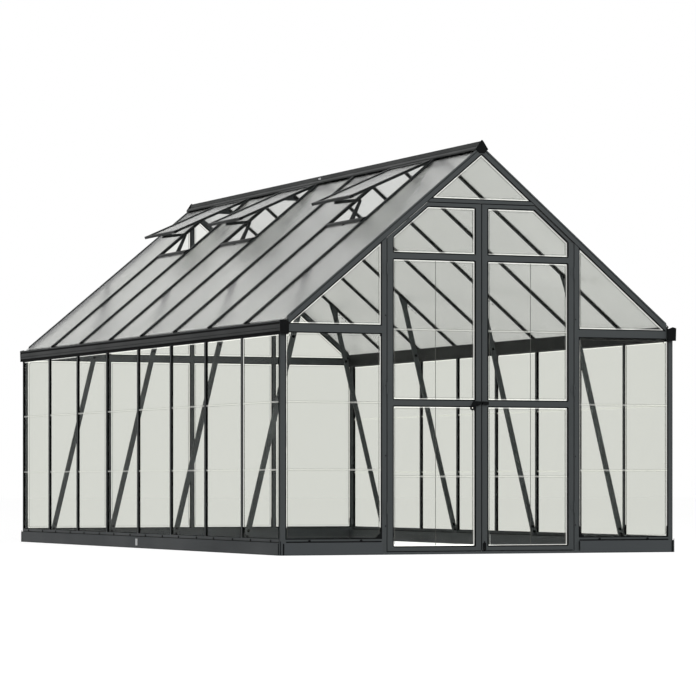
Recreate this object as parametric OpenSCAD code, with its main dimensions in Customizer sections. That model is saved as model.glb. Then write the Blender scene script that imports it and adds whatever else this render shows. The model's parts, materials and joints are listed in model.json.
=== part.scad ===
// Gabled greenhouse with a metal frame, clear walls and a translucent roof.
// X runs across the gables, Y along the sides and Z up. The door gable faces -Y.
// The origin is on the ground, at the centre of the footprint.

/* [Plan] */
// Distance across the gable between the side post centres
gable_width = 2440; // [2300:10:2700]
// Length of one bay along the sides
bay_width = 583; // [450:1:700]
// Number of bays along each side
bay_count = 8; // [5:1:9]

/* [Heights] */
// Height of the folded steel base rail
base_height = 70; // [50:1:120]
// Height of the sill rail that holds the wall panes
sill_height = 20; // [12:1:40]
// Height at which the roof line crosses the side post centres
eave_height = 1280; // [1150:1:1400]
// Pitch of the roof in degrees
roof_pitch = 39.7; // [38:0.1:42]

/* [Base] */
// Width of the base rail across its top
base_width = 60; // [50:1:90]
// Thickness of the folded base steel
base_steel = 3; // [2:0.5:5]
// Distance the base stands out beyond the post centres
base_overhang = 15; // [15:1:30]
// Width of the turned-in foot of the base rail
base_foot = 15; // [8:1:20]
// Radius of the outer corner of the base
base_radius = 20; // [8:1:24]
// Narrow gap where two lengths of a base rail or of the ridge meet
splice_gap = 1; // [0.5:0.5:3]
// Thickness of the threshold under the doors
threshold_height = 14; // [8:1:30]

/* [Frame] */
// Width of a side post seen from the side
post_width = 20; // [14:1:30]
// Depth of a side post across the wall
post_depth = 14; // [10:1:20]
// Width of a corner post across the gable
corner_post = 30; // [24:1:34]
// Depth of a corner post along the side
corner_depth = 22; // [18:1:34]
// Distance of the corner post centre in from the side post centre
corner_inset = 11; // [9:1:13]
// Depth of the gable frame bars along the length
gable_depth = 16; // [14:1:20]
// Width of a door jamb
jamb_width = 30; // [28:1:45]
// Distance of the outer side of a jamb beyond the quarter of the gable
jamb_set = 7; // [0:1:20]
// Width of a post in the back gable
gable_post_width = 26; // [22:1:40]
// Height of the eave bar across a gable
eave_bar_height = 46; // [30:1:50]
// Height of the underside of the eave bar above the gutter
eave_bar_step = 11; // [4:1:20]
// Height of the bar over the doors
head_bar_height = 20; // [14:1:40]
// Drop of the bar over the doors below the roof line at the ridge
head_bar_drop = 315; // [290:1:400]

/* [Roof] */
// Depth of a roof bar below the roof sheets
roof_bar_depth = 5; // [3:1:20]
// Width of a roof bar
roof_bar_width = 20; // [14:1:22]
// Depth of a gable rafter below the roof sheets
rafter_depth = 28.7; // [25:0.1:40]
// Width of the tongue between two roof sheets
roof_tongue = 6; // [4:1:10]
// Width of the cap that clamps the roof sheets
roof_cap_width = 22; // [16:1:30]
// Height of the cap that clamps the roof sheets to a roof bar
roof_cap = 8; // [4:0.5:12]
// Height of the cap along a gable rafter
rafter_cap = 4; // [2:0.5:8]
// Thickness of a roof sheet
roof_sheet = 6; // [4:1:10]
// Height of the ridge beam above the roof line
ridge_rise = 37; // [34:1:60]
// Depth of the ridge web below the roof line
ridge_drop = 32; // [20:1:36]
// Half thickness of the ridge web
ridge_web = 10; // [6:1:12]
// Half width of the ridge flange over the sheets
ridge_flange = 38; // [32:1:45]
// Height of the upper band of the ridge beam
ridge_band = 27; // [20:1:28]
// Height of the lip along the edge of the ridge flange
ridge_lip = 8; // [4:1:12]

/* [Gutter] */
// Drop of the underside of the gutter below the eave height
gutter_drop = 58; // [50:1:62]
// Width of the gutter
gutter_width = 52; // [48:1:70]
// Height of the gutter
gutter_height = 73; // [60:1:76]
// Thickness of the gutter wall
gutter_wall = 3; // [2:0.5:5]
// Height of the closed box under the gutter channel
gutter_box = 18; // [17:1:30]
// Height of the lip along the top of the outer gutter wall
gutter_lip = 9; // [6:1:14]
// Height of the groove below that lip
gutter_groove = 11; // [8:1:14]
// Depth by which the groove is set back
gutter_groove_set = 3; // [2:0.5:5]
// Height of the set-back foot of the gutter
gutter_foot = 16; // [8:1:16]
// Depth by which the foot is set back
gutter_foot_set = 10; // [4:1:10]
// Thickness of the gutter end cap
gutter_cap = 6; // [3:1:10]
// Gap between the edge of the roof sheet and the outer gutter wall
gutter_mouth = 32; // [20:1:35]

/* [Braces] */
// Width of a knee brace
brace_width = 30; // [20:1:45]
// Thickness of a knee brace along the length
brace_depth = 15; // [8:1:18]
// Lean of a knee brace away from vertical in degrees
brace_lean = 13.9; // [11:0.1:20]
// Distance of the brace foot in from the inner face of the post
brace_foot = 13; // [8:1:14]
// Width by which the flat head of a brace flares out on each side
brace_flare = 13; // [6:1:25]
// Height of the flared head of a brace
brace_head = 60; // [40:1:90]
// Thickness of the flared head of a brace
brace_plate = 5; // [3:1:8]
// Half width of a ridge gusset along its lower edge
gusset_half = 77; // [60:1:120]
// Thickness of a gusset plate
gusset_plate = 4; // [2:0.5:6]
// Height of the strip left below the opening in a ridge gusset
gusset_strip = 28; // [16:1:30]
// Width of the strip left beside the opening in a ridge gusset
gusset_rim = 7; // [4:1:9]
// Side of the small corner gussets beside the door jambs
corner_gusset = 45; // [30:1:70]

/* [Glazing] */
// Thickness of a wall pane
wall_pane = 4; // [3:0.5:6]

/* [Vents] */
// Distance of the vent sill from the ridge, measured level
vent_reach = 455; // [380:1:460]
// Width of the vent sill down the slope, measured level
vent_sill_width = 13; // [10:1:20]
// Pitch of the open sash in degrees
sash_pitch = 24; // [15:0.1:32]
// Length of the sash down its slope
sash_length = 561; // [540:1:640]
// Depth of the sash frame
sash_depth = 16; // [10:1:25]
// Width of the sash frame bars
sash_bar = 22; // [14:1:30]
// Width by which the sash laps each roof bar
sash_lap = 8; // [2:1:9]
// Thickness of the lip with which the sash laps the roof bars
sash_lip = 3; // [2:0.5:5]
// Gap on each side between the sash frame and the bar caps
sash_side_gap = 2; // [1:0.5:5]
// Thickness of the stay arm
stay_size = 16; // [8:1:18]
// Distance of the bend in the stay arm in from the vent sill
stay_bend_in = 64; // [50:1:110]
// Height of the bend in the stay arm above the roof line at the sill
stay_bend_up = 141; // [110:1:150]

/* [Doors] */
// Running gap round each door leaf
door_gap = 5; // [5:0.5:8]
// Thickness of a door leaf
leaf_depth = 22; // [16:1:30]
// Width of a door stile
stile_width = 36; // [28:1:50]
// Height of the top rail of a leaf
top_rail = 23; // [20:1:40]
// Height of the bottom rail of a leaf
bottom_rail = 25; // [20:1:60]
// Height of the lock rail and the upper rail of a leaf
mid_rail = 37; // [26:1:50]
// Middle of the lock rail above the ground
lock_level = 848; // [700:1:1000]
// Drop of the middle of the upper rail below the head of the outer stile
upper_rail_drop = 95; // [70:1:200]
// Thickness of the raked corner rail, square to the roof
raked_rail = 17; // [12:1:30]
// Radius of the rounded corners of the door panes
pane_radius = 6; // [4:1:25]
// Radius of a hinge knuckle
knuckle_radius = 5; // [4:0.5:7]
// Radius of the hinge pin
hinge_pin = 2.5; // [2:0.1:3]
// Height of one hinge
hinge_height = 64; // [40:1:90]
// Width of a hinge flap from the pin
hinge_flap = 22; // [16:1:26]
// Height of the lower hinge above the ground
lower_hinge = 260; // [200:1:400]
// Drop of the upper hinge below the head of the outer stile
upper_hinge_drop = 165; // [120:1:220]

/* [Hidden] */

frame_colour = "#45494C";
dark_colour = "#1D1F20";
clear_colour = "#D0D4CF88";
sheet_colour = "#B4B5B4AA";

half_width = gable_width / 2;
half_length = bay_width * bay_count / 2;
outer_x = half_width + base_overhang;
outer_y = half_length + base_overhang;
sill_top = base_height + sill_height;
ridge_line = eave_height + half_width * tan(roof_pitch);
ridge_top = ridge_line + ridge_rise;
web_bottom = ridge_line - ridge_drop;
cap_top = roof_sheet + roof_cap;
// Middle plane of the gable frames; their outer faces are at the ends of the bays
gable_y = half_length - gable_depth / 2;
// Clearance that seats a roof sheet on its bars
sheet_seat = 0.1;

// Posts and gutters
corner_x = half_width - corner_inset;
corner_y = half_length - corner_depth / 2;
corner_inner_x = corner_x - corner_post / 2;
corner_inner_y = corner_y - corner_depth / 2;
gutter_inner = outer_x - gutter_width;
gutter_bottom = eave_height - gutter_drop;
gutter_top = gutter_bottom + gutter_height;
channel_floor = gutter_bottom + gutter_box;
sheet_end = outer_x - gutter_wall - gutter_mouth;
eave_bar_bottom = gutter_bottom + eave_bar_step;
eave_bar_top = eave_bar_bottom + eave_bar_height;
quarter_post_x = gable_width / 4;

// Features that sit in chosen bays or on chosen frames
vent_bays = [for (i = [1, 4, 6]) if (i < bay_count) i];
brace_frames = [for (i = [1, 3, 5, 7]) if (i < bay_count) i];
gusset_frames = [for (i = [1, 3, 4, 5, 7]) if (i < bay_count) i];

// Door opening and leaves
jamb_outer = quarter_post_x + jamb_set;
jamb_inner = jamb_outer - jamb_width;
head_bar_level = ridge_line - head_bar_drop;
leaf_front = -half_length;
leaf_back = leaf_front + leaf_depth;
leaf_inner = door_gap / 2 + 0.5;
leaf_outer = jamb_inner - door_gap;
leaf_bottom = threshold_height + door_gap;
leaf_top = head_bar_level - door_gap;
leaf_stile_inner = leaf_outer - stile_width;
meeting_inner = leaf_inner + stile_width;
// Square offset of the raked edge of a leaf below the roof line
rake_clear = rafter_depth + door_gap + 1;
rake_low = roof_z(leaf_outer, -rake_clear);
upper_level = rake_low - upper_rail_drop;
hinge_x = leaf_outer + door_gap / 2;
hinge_y = leaf_front - knuckle_radius;
upper_hinge = rake_low - upper_hinge_drop;
hinge_levels = [lower_hinge, (lower_hinge + upper_hinge) / 2, upper_hinge];

function frame_y(i) = -half_length + i * bay_width;
// Height of the roof line, raised square to the slope, at a distance from the centre
function roof_z(x, rise) = ridge_line - x * tan(roof_pitch) + rise / cos(roof_pitch);
// Distance from the centre at which the raised roof line has a given height
function roof_x(z, rise) = (ridge_line - z + rise / cos(roof_pitch)) / tan(roof_pitch);

// An outline in X and Z, given a thickness along Y about a middle plane
module across(y, thickness) {
    translate([0, y + thickness / 2, 0])
        rotate([90, 0, 0])
            linear_extrude(thickness) children();
}

// An outline in X and Z, drawn out along Y
module along(y_start, y_end) {
    translate([0, y_end, 0])
        rotate([90, 0, 0])
            linear_extrude(y_end - y_start) children();
}

// The piece as drawn for +X, and its mirror image
module both_sides() {
    children();
    mirror([1, 0, 0]) children();
}

// The piece as drawn at -Y, and its mirror image at the other gable
module both_ends() {
    children();
    mirror([0, 1, 0]) children();
}

// A band of the roof between two distances from the centre, square offsets low and high
module slope_band(x_start, x_end, low, high) {
    polygon([[x_start, roof_z(x_start, low)], [x_end, roof_z(x_end, low)],
        [x_end, roof_z(x_end, high)], [x_start, roof_z(x_start, high)]]);
}

// Room that the web of the ridge beam takes from what meets under it
module web_room() {
    translate([-ridge_web, web_bottom])
        square([2 * ridge_web, 2 * ridge_drop]);
}

// Cross-section of the folded base rail, outer face at x = 0, running inwards to -x
module base_profile() {
    polygon([[0, 0], [0, base_height], [-base_width, base_height], [-base_width, 0],
        [-base_width + base_foot, 0], [-base_width + base_foot, base_steel],
        [-base_width + base_steel, base_steel],
        [-base_width + base_steel, base_height - base_steel],
        [-base_steel, base_height - base_steel], [-base_steel, base_steel],
        [-base_foot, base_steel], [-base_foot, 0]]);
}

// A base rail laid along X with its outer face towards -Y
module base_rail_x(x_start, x_end) {
    translate([x_start, -outer_y, 0])
        rotate([90, 0, 90])
            linear_extrude(x_end - x_start)
                mirror([1, 0]) base_profile();
}

base_corner_y = outer_y - base_width;
base_corner_x = outer_x - base_width;

// Two lengths of rail that meet at the middle of the side
module base_rail_side() {
    color(frame_colour)
        both_ends()
            along(-base_corner_y, -splice_gap / 2)
                translate([outer_x, 0]) base_profile();
}

module base_rail_back() {
    color(frame_colour)
        mirror([0, 1, 0]) base_rail_x(-base_corner_x, base_corner_x);
}

module base_rails_front() {
    color(frame_colour)
        both_sides() base_rail_x(jamb_outer, base_corner_x);
}

// Rounded corner piece; a groove on each face marks its edge cover
corner_groove = 1.5;

module base_corner_outline() {
    arc = [for (a = [0 : 15 : 90])
        [outer_x - base_radius + base_radius * cos(a), outer_y - base_radius + base_radius * sin(a)]];
    edge_x = outer_x - base_radius - corner_groove;
    edge_y = outer_y - base_radius - corner_groove;
    polygon(concat([[base_corner_x, base_corner_y], [outer_x, base_corner_y],
        [outer_x, edge_y - corner_groove], [outer_x - corner_groove, edge_y - corner_groove],
        [outer_x - corner_groove, edge_y], [outer_x, edge_y]], arc,
        [[edge_x, outer_y], [edge_x, outer_y - corner_groove],
        [edge_x - corner_groove, outer_y - corner_groove], [edge_x - corner_groove, outer_y],
        [base_corner_x, outer_y]]));
}

module base_corners() {
    color(frame_colour)
        both_ends()
            both_sides()
                linear_extrude(base_height) mirror([0, 1]) base_corner_outline();
}

module door_threshold() {
    color(dark_colour)
        translate([-jamb_outer, -outer_y, 0])
            cube([2 * jamb_outer, base_width, threshold_height]);
}

module wall_sills() {
    color(frame_colour) {
        both_sides()
            translate([half_width - post_depth / 2, -corner_inner_y, base_height])
                cube([post_depth, 2 * corner_inner_y, sill_height]);
        translate([-corner_inner_x, half_length - gable_depth, base_height])
            cube([2 * corner_inner_x, gable_depth, sill_height]);
        both_sides()
            translate([jamb_outer, -half_length, base_height])
                cube([corner_inner_x - jamb_outer, gable_depth, sill_height]);
    }
}

module corner_posts() {
    color(frame_colour)
        both_ends()
            both_sides()
                translate([corner_inner_x, -half_length, base_height])
                    cube([corner_post, corner_depth, gutter_bottom - base_height]);
}

module side_posts() {
    color(frame_colour)
        for (i = [1 : bay_count - 1])
            translate([half_width - post_depth / 2, frame_y(i) - post_width / 2, sill_top])
                cube([post_depth, post_width, gutter_bottom - sill_top]);
}

// Jamb with its knuckles and hinge pins
module door_jamb() {
    across(-gable_y, gable_depth)
        polygon([[jamb_inner, threshold_height], [jamb_outer, threshold_height],
            [jamb_outer, roof_z(jamb_outer, -rafter_depth)],
            [jamb_inner, roof_z(jamb_inner, -rafter_depth)]]);
    for (level = hinge_levels) jamb_hinge(level);
}

knuckle_height = (hinge_height - 2) / 3;
flap_thickness = 2;

// Two outer knuckles on a flap, joined by the pin
module jamb_hinge(level) {
    translate([hinge_x, hinge_y, level - hinge_height / 2]) {
        for (lift = [0, hinge_height - knuckle_height])
            translate([0, 0, lift]) {
                cylinder(r = knuckle_radius, h = knuckle_height, $fn = 24);
                translate([0, knuckle_radius - flap_thickness, 0])
                    cube([hinge_flap, flap_thickness, knuckle_height]);
            }
        cylinder(r = hinge_pin, h = hinge_height, $fn = 24);
        translate([knuckle_radius + 1, knuckle_radius - flap_thickness, 0])
            cube([hinge_flap - knuckle_radius - 1, flap_thickness, hinge_height]);
    }
}

// The middle knuckle on its flap, bored for the pin
module leaf_hinge(level) {
    translate([hinge_x, hinge_y, level - knuckle_height / 2])
        difference() {
            union() {
                cylinder(r = knuckle_radius, h = knuckle_height, $fn = 24);
                translate([-hinge_flap, knuckle_radius - flap_thickness, 0])
                    cube([hinge_flap, flap_thickness, knuckle_height]);
            }
            translate([0, 0, -1])
                cylinder(r = hinge_pin + 0.05, h = knuckle_height + 2, $fn = 24);
        }
}

module door_jambs() {
    color(frame_colour) both_sides() door_jamb();
}

// Eave bar from a post to the gutter, its end cut under the rafter
module eave_bar_end(y, x_start) {
    across(y, gable_depth)
        polygon([[x_start, eave_bar_bottom], [gutter_inner, eave_bar_bottom],
            [gutter_inner, roof_z(gutter_inner, -rafter_depth)],
            [roof_x(eave_bar_top, -rafter_depth), eave_bar_top], [x_start, eave_bar_top]]);
}

module eave_bars_front() {
    color(frame_colour)
        both_sides() eave_bar_end(-gable_y, jamb_outer);
}

module door_head_bar() {
    head_top = head_bar_level + head_bar_height;
    low_x = roof_x(head_bar_level, -rafter_depth);
    high_x = roof_x(head_top, -rafter_depth);
    color(frame_colour)
        across(-gable_y, gable_depth)
            polygon([[-low_x, head_bar_level], [low_x, head_bar_level],
                [high_x, head_top], [-high_x, head_top]]);
}

module gable_posts_back() {
    half = gable_post_width / 2;
    left = quarter_post_x - half;
    right = quarter_post_x + half;
    color(frame_colour) {
        across(gable_y, gable_depth)
            difference() {
                polygon([[-half, sill_top], [half, sill_top], [half, roof_z(half, -rafter_depth)],
                    [0, roof_z(0, -rafter_depth)], [-half, roof_z(half, -rafter_depth)]]);
                web_room();
            }
        both_sides()
            across(gable_y, gable_depth)
                polygon([[left, sill_top], [right, sill_top],
                    [right, roof_z(right, -rafter_depth)], [left, roof_z(left, -rafter_depth)]]);
    }
}

module eave_bars_back() {
    half = gable_post_width / 2;
    color(frame_colour)
        both_sides() {
            eave_bar_end(gable_y, quarter_post_x + half);
            translate([half, half_length - gable_depth, eave_bar_bottom])
                cube([quarter_post_x - 2 * half, gable_depth, eave_bar_height]);
        }
}

// Half thickness of the shelves above and below the groove in the outer gutter wall
gutter_shelf = 1.5;

// Cross-section of the gutter: a closed box with a set-back foot below an open channel,
// whose outer wall has a lip along its top and a groove below the lip
module gutter_profile() {
    channel_x = gutter_inner + gutter_wall;
    wall_x = outer_x - gutter_wall;
    groove_high = gutter_top - gutter_lip;
    groove_low = groove_high - gutter_groove;
    foot_top = gutter_bottom + gutter_foot;
    polygon([[gutter_inner, gutter_bottom], [outer_x - gutter_foot_set, gutter_bottom],
        [outer_x - gutter_foot_set, foot_top], [outer_x, foot_top], [outer_x, groove_low],
        [outer_x - gutter_groove_set, groove_low], [outer_x - gutter_groove_set, groove_high],
        [outer_x, groove_high], [outer_x, gutter_top], [wall_x, gutter_top],
        [wall_x, groove_high + gutter_shelf],
        [wall_x - gutter_groove_set, groove_high + gutter_shelf],
        [wall_x - gutter_groove_set, groove_low - gutter_shelf],
        [wall_x, groove_low - gutter_shelf], [wall_x, channel_floor],
        [channel_x, channel_floor], [channel_x, roof_z(channel_x, -roof_bar_depth)],
        [gutter_inner, roof_z(gutter_inner, -roof_bar_depth)]]);
}

module gutter() {
    color(frame_colour) along(-outer_y, outer_y) gutter_profile();
}

// The peaked cap that closes a gutter stands a little proud of it
gutter_cap_lip = 2;
gutter_cap_peak = 6;

module gutter_end_caps() {
    peak_x = outer_x - gutter_width * 0.4;
    color(dark_colour)
        both_ends()
            both_sides()
                along(-outer_y - gutter_cap, -outer_y)
                    polygon([[gutter_inner, gutter_bottom], [outer_x, gutter_bottom],
                        [outer_x + gutter_cap_lip, gutter_top],
                        [peak_x, gutter_top + gutter_cap_peak],
                        [gutter_inner, gutter_top - gutter_cap_peak]]);
}

// Half widths of the ridge beam at its crest, and at the foot and the step of its upper band
ridge_crest = 6;
ridge_foot = 14;
ridge_step = 18;

// Right half of the ridge cross-section, from the top down
ridge_side = [[ridge_crest, ridge_top], [ridge_foot, ridge_top - ridge_band],
    [ridge_step, ridge_top - ridge_band], [ridge_flange, roof_z(ridge_flange, cap_top) + ridge_lip],
    [ridge_flange, roof_z(ridge_flange, cap_top)], [ridge_web, roof_z(ridge_web, cap_top)],
    [ridge_web, web_bottom]];

module ridge_profile() {
    last = len(ridge_side) - 1;
    mirrored = [for (i = [last : -1 : 0]) [-ridge_side[i][0], ridge_side[i][1]]];
    polygon(concat(ridge_side, mirrored));
}

// Two lengths of beam that meet at the middle of the ridge
module ridge_beam() {
    color(frame_colour)
        both_ends() along(-half_length, -splice_gap / 2) ridge_profile();
}

// Rise of the peak of the ridge end cap, and the setting of its corners about the web
ridge_cap_peak = 7;
ridge_cap_side = 6;
ridge_cap_shoulder = 8;

module ridge_end_caps() {
    low_x = ridge_web + ridge_cap_side;
    color(dark_colour)
        both_ends()
            along(-half_length - gutter_cap, -half_length)
                polygon([[0, ridge_top + ridge_cap_peak], [ridge_cap_shoulder, ridge_top],
                    [ridge_flange, ridge_line - ridge_cap_shoulder], [low_x, web_bottom + 2],
                    [-low_x, web_bottom + 2], [-ridge_flange, ridge_line - ridge_cap_shoulder],
                    [-ridge_cap_shoulder, ridge_top]]);
}

// Gap between the two rafters of a gable where they meet under the ridge
rafter_gap = 0.6;
// Depth by which a tongue grows out of its bar
tongue_root = 1;

// Raked rafter of a gable: a deep bar with a rebate for the roof sheet
module gable_rafter() {
    across(-gable_y, gable_depth)
        difference() {
            slope_band(rafter_gap / 2, gutter_inner, -rafter_depth, 0);
            web_room();
        }
    along(-half_length, -half_length + roof_tongue / 2)
        slope_band(ridge_web, gutter_inner, -tongue_root, roof_sheet);
    along(-half_length, -half_length + roof_cap_width / 2)
        slope_band(ridge_web, gutter_inner, roof_sheet, roof_sheet + rafter_cap);
}

module gable_rafters_front() {
    color(frame_colour) both_sides() gable_rafter();
}

module gable_rafters_back() {
    color(frame_colour) mirror([0, 1, 0]) both_sides() gable_rafter();
}

// Roof bar: bar under the sheets, tongue between them and cap on top
module roof_bar(i) {
    across(frame_y(i), roof_bar_width)
        slope_band(ridge_web, gutter_inner + gutter_wall, -roof_bar_depth, 0);
    across(frame_y(i), roof_tongue)
        slope_band(ridge_web, sheet_end, -tongue_root, roof_sheet);
    across(frame_y(i), roof_cap_width)
        slope_band(ridge_web, sheet_end, roof_sheet, cap_top);
}

module roof_bars() {
    color(frame_colour)
        for (i = [1 : bay_count - 1]) roof_bar(i);
}

// Knee brace from the foot of a side post up to the roof bar
post_inner = half_width - post_depth / 2;
brace_half = brace_width / 2 / cos(brace_lean);
brace_x = post_inner - brace_foot;
brace_slope = tan(brace_lean);

// Where a brace edge that starts at a given x on the base has a given height
function edge_x(start, z) = start - (z - base_height) * brace_slope;
// Height at which that edge meets the underside of the roof bar
function edge_meet(start) = (roof_z(start, -roof_bar_depth)
    - base_height * brace_slope * tan(roof_pitch)) / (1 - brace_slope * tan(roof_pitch));

module knee_brace() {
    outer_edge = brace_x + brace_half;
    inner_edge = brace_x - brace_half;
    low_z = edge_meet(outer_edge);
    high_z = edge_meet(inner_edge);
    polygon([[inner_edge, base_height], [post_inner, base_height],
        [post_inner, base_height + (outer_edge - post_inner) / brace_slope],
        [edge_x(outer_edge, low_z), low_z], [edge_x(inner_edge, high_z), high_z]]);
}

// Thin plate that widens towards the roof bar
module knee_brace_head() {
    outer_edge = brace_x + brace_half;
    inner_edge = brace_x - brace_half;
    low_z = edge_meet(outer_edge);
    start_z = low_z - brace_head;
    outer_top = edge_x(outer_edge, low_z) + brace_flare;
    inner_top = edge_x(inner_edge, edge_meet(inner_edge)) - brace_flare;
    polygon([[edge_x(inner_edge, start_z), start_z], [edge_x(outer_edge, start_z), start_z],
        [outer_top, roof_z(outer_top, -roof_bar_depth)],
        [inner_top, roof_z(inner_top, -roof_bar_depth)]]);
}

module knee_braces() {
    color(frame_colour)
        for (i = brace_frames) {
            across(frame_y(i), brace_depth) knee_brace();
            across(frame_y(i), brace_plate) knee_brace_head();
        }
}

// Triangular plate under the ridge with a flat triangular opening
module ridge_gusset() {
    low = roof_z(gusset_half, -roof_bar_depth);
    top_x = roof_x(web_bottom, -roof_bar_depth);
    hole_low = low + gusset_strip;
    hole_x = roof_x(hole_low, -roof_bar_depth) - gusset_rim;
    difference() {
        polygon([[-gusset_half, low], [gusset_half, low], [top_x, web_bottom],
            [-top_x, web_bottom]]);
        polygon([[-hole_x, hole_low], [hole_x, hole_low], [0, web_bottom - gusset_rim / 2]]);
    }
}

module ridge_gussets() {
    color(frame_colour)
        for (i = gusset_frames) across(frame_y(i), gusset_plate) ridge_gusset();
}

module jamb_gussets() {
    color(dark_colour)
        both_sides()
            across(-half_length + gable_depth - gusset_plate / 2, gusset_plate)
                polygon([[jamb_outer, sill_top], [jamb_outer + corner_gusset, sill_top],
                    [jamb_outer, sill_top + corner_gusset]]);
}

module side_panes() {
    color(clear_colour)
        for (i = [0 : bay_count - 1]) {
            start = i == 0 ? -corner_inner_y : frame_y(i) + post_width / 2;
            end = i == bay_count - 1 ? corner_inner_y : frame_y(i + 1) - post_width / 2;
            translate([half_width - wall_pane / 2, start, sill_top])
                cube([wall_pane, end - start, gutter_bottom - sill_top]);
        }
}

// Lower pane between two posts
module gable_bay_pane(y, x_start, x_end) {
    translate([x_start, y - wall_pane / 2, sill_top])
        cube([x_end - x_start, wall_pane, eave_bar_bottom - sill_top]);
}

// Lower pane beside a corner post, its top corner cut round the gutter
module gable_corner_pane(y, x_start) {
    across(y, wall_pane)
        polygon([[x_start, sill_top], [corner_inner_x, sill_top], [corner_inner_x, gutter_bottom],
            [gutter_inner, gutter_bottom], [gutter_inner, eave_bar_bottom],
            [x_start, eave_bar_bottom]]);
}

// Pane above the eave bar between two posts, with its sloping top
module rake_pane(y, x_start, x_end, bottom) {
    across(y, wall_pane)
        polygon([[x_start, bottom], [x_end, bottom], [x_end, roof_z(x_end, -rafter_depth)],
            [x_start, roof_z(x_start, -rafter_depth)]]);
}

// Three-cornered pane above the eave bar at the low end of a rafter
module rake_end_pane(y, x_start, bottom) {
    across(y, wall_pane)
        polygon([[x_start, bottom], [roof_x(bottom, -rafter_depth), bottom],
            [x_start, roof_z(x_start, -rafter_depth)]]);
}

module front_panes() {
    head_top = head_bar_level + head_bar_height;
    low_x = roof_x(head_top, -rafter_depth);
    color(clear_colour) {
        both_sides() {
            gable_corner_pane(-gable_y, jamb_outer);
            rake_end_pane(-gable_y, jamb_outer, eave_bar_top);
        }
        across(-gable_y, wall_pane)
            difference() {
                polygon([[-low_x, head_top], [low_x, head_top], [0, roof_z(0, -rafter_depth)]]);
                web_room();
            }
    }
}

module back_panes() {
    half = gable_post_width / 2;
    color(clear_colour)
        both_sides() {
            gable_bay_pane(gable_y, half, quarter_post_x - half);
            gable_corner_pane(gable_y, quarter_post_x + half);
            rake_pane(gable_y, half, quarter_post_x - half, eave_bar_top);
            rake_end_pane(gable_y, quarter_post_x + half, eave_bar_top);
        }
}

module roof_sheet_piece(i, x_start) {
    across(frame_y(i) + bay_width / 2, bay_width - roof_tongue - 2 * sheet_seat)
        slope_band(x_start + sheet_seat, sheet_end, sheet_seat, roof_sheet - sheet_seat);
}

module roof_sheets_right() {
    color(sheet_colour)
        for (i = [0 : bay_count - 1]) roof_sheet_piece(i, ridge_web);
}

module roof_sheets_left() {
    color(sheet_colour)
        mirror([1, 0, 0])
            for (i = [0 : bay_count - 1])
                roof_sheet_piece(i, is_vent(i) ? vent_reach + vent_sill_width : ridge_web);
}

function is_vent(i) = len([for (v = vent_bays) if (v == i) v]) > 0;

// Bar across a vent bay that closes the top of the short roof sheet
module vent_sills() {
    sill_end = vent_reach + vent_sill_width;
    color(frame_colour)
        mirror([1, 0, 0])
            for (i = vent_bays)
                across(frame_y(i) + bay_width / 2, bay_width - roof_cap_width)
                    slope_band(vent_reach, sill_end, -roof_bar_depth, cap_top);
}

// The open sash is drawn flat, hinge line at the origin, and tilted to its place.
// Its frame drops between the bar caps, and a thin lip laps them.
sash_width = bay_width - roof_bar_width + 2 * sash_lap;
sash_body = bay_width - roof_cap_width - 2 * sash_side_gap;
hinge_seat = 0.3;
hinge_line_x = ridge_flange + sash_depth * sin(sash_pitch) + hinge_seat;
hinge_line_z = roof_z(hinge_line_x, cap_top) + hinge_seat
    + sash_lip * (cos(sash_pitch) + sin(sash_pitch) * tan(roof_pitch));

module on_sash(i) {
    translate([-hinge_line_x, frame_y(i) + bay_width / 2, hinge_line_z])
        rotate([0, -sash_pitch, 0]) mirror([1, 0, 0]) children();
}

// Side bar of the sash with its lip, drawn towards +Y
module sash_side() {
    translate([0, sash_body / 2 - sash_bar, -sash_depth])
        cube([sash_length - 2 * sash_bar, sash_bar, sash_depth]);
    translate([0, sash_body / 2 - sash_bar, -sash_lip])
        cube([sash_length - 2 * sash_bar, sash_bar + (sash_width - sash_body) / 2, sash_lip]);
}

module vent_sash_sides() {
    color(frame_colour)
        for (i = vent_bays)
            on_sash(i)
                translate([sash_bar, 0, 0])
                    both_ends() sash_side();
}

module vent_sash_rails() {
    color(frame_colour)
        for (i = vent_bays)
            on_sash(i)
                for (start = [0, sash_length - sash_bar]) {
                    translate([start, -sash_body / 2, -sash_depth])
                        cube([sash_bar, sash_body, sash_depth]);
                    translate([start, -sash_width / 2, -sash_lip])
                        cube([sash_bar, sash_width, sash_lip]);
                }
}

module vent_panes() {
    inside = sash_body - 2 * sash_bar;
    color(sheet_colour)
        for (i = vent_bays)
            on_sash(i)
                translate([sash_bar, -inside / 2, -sash_depth / 2 - wall_pane / 2])
                    cube([sash_length - 2 * sash_bar, inside, wall_pane]);
}

// Bent stay arm from the vent sill to the bottom rail of the sash, off the middle of the bay
stay_place = 0.42;
stay_seat = 0.2;

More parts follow.
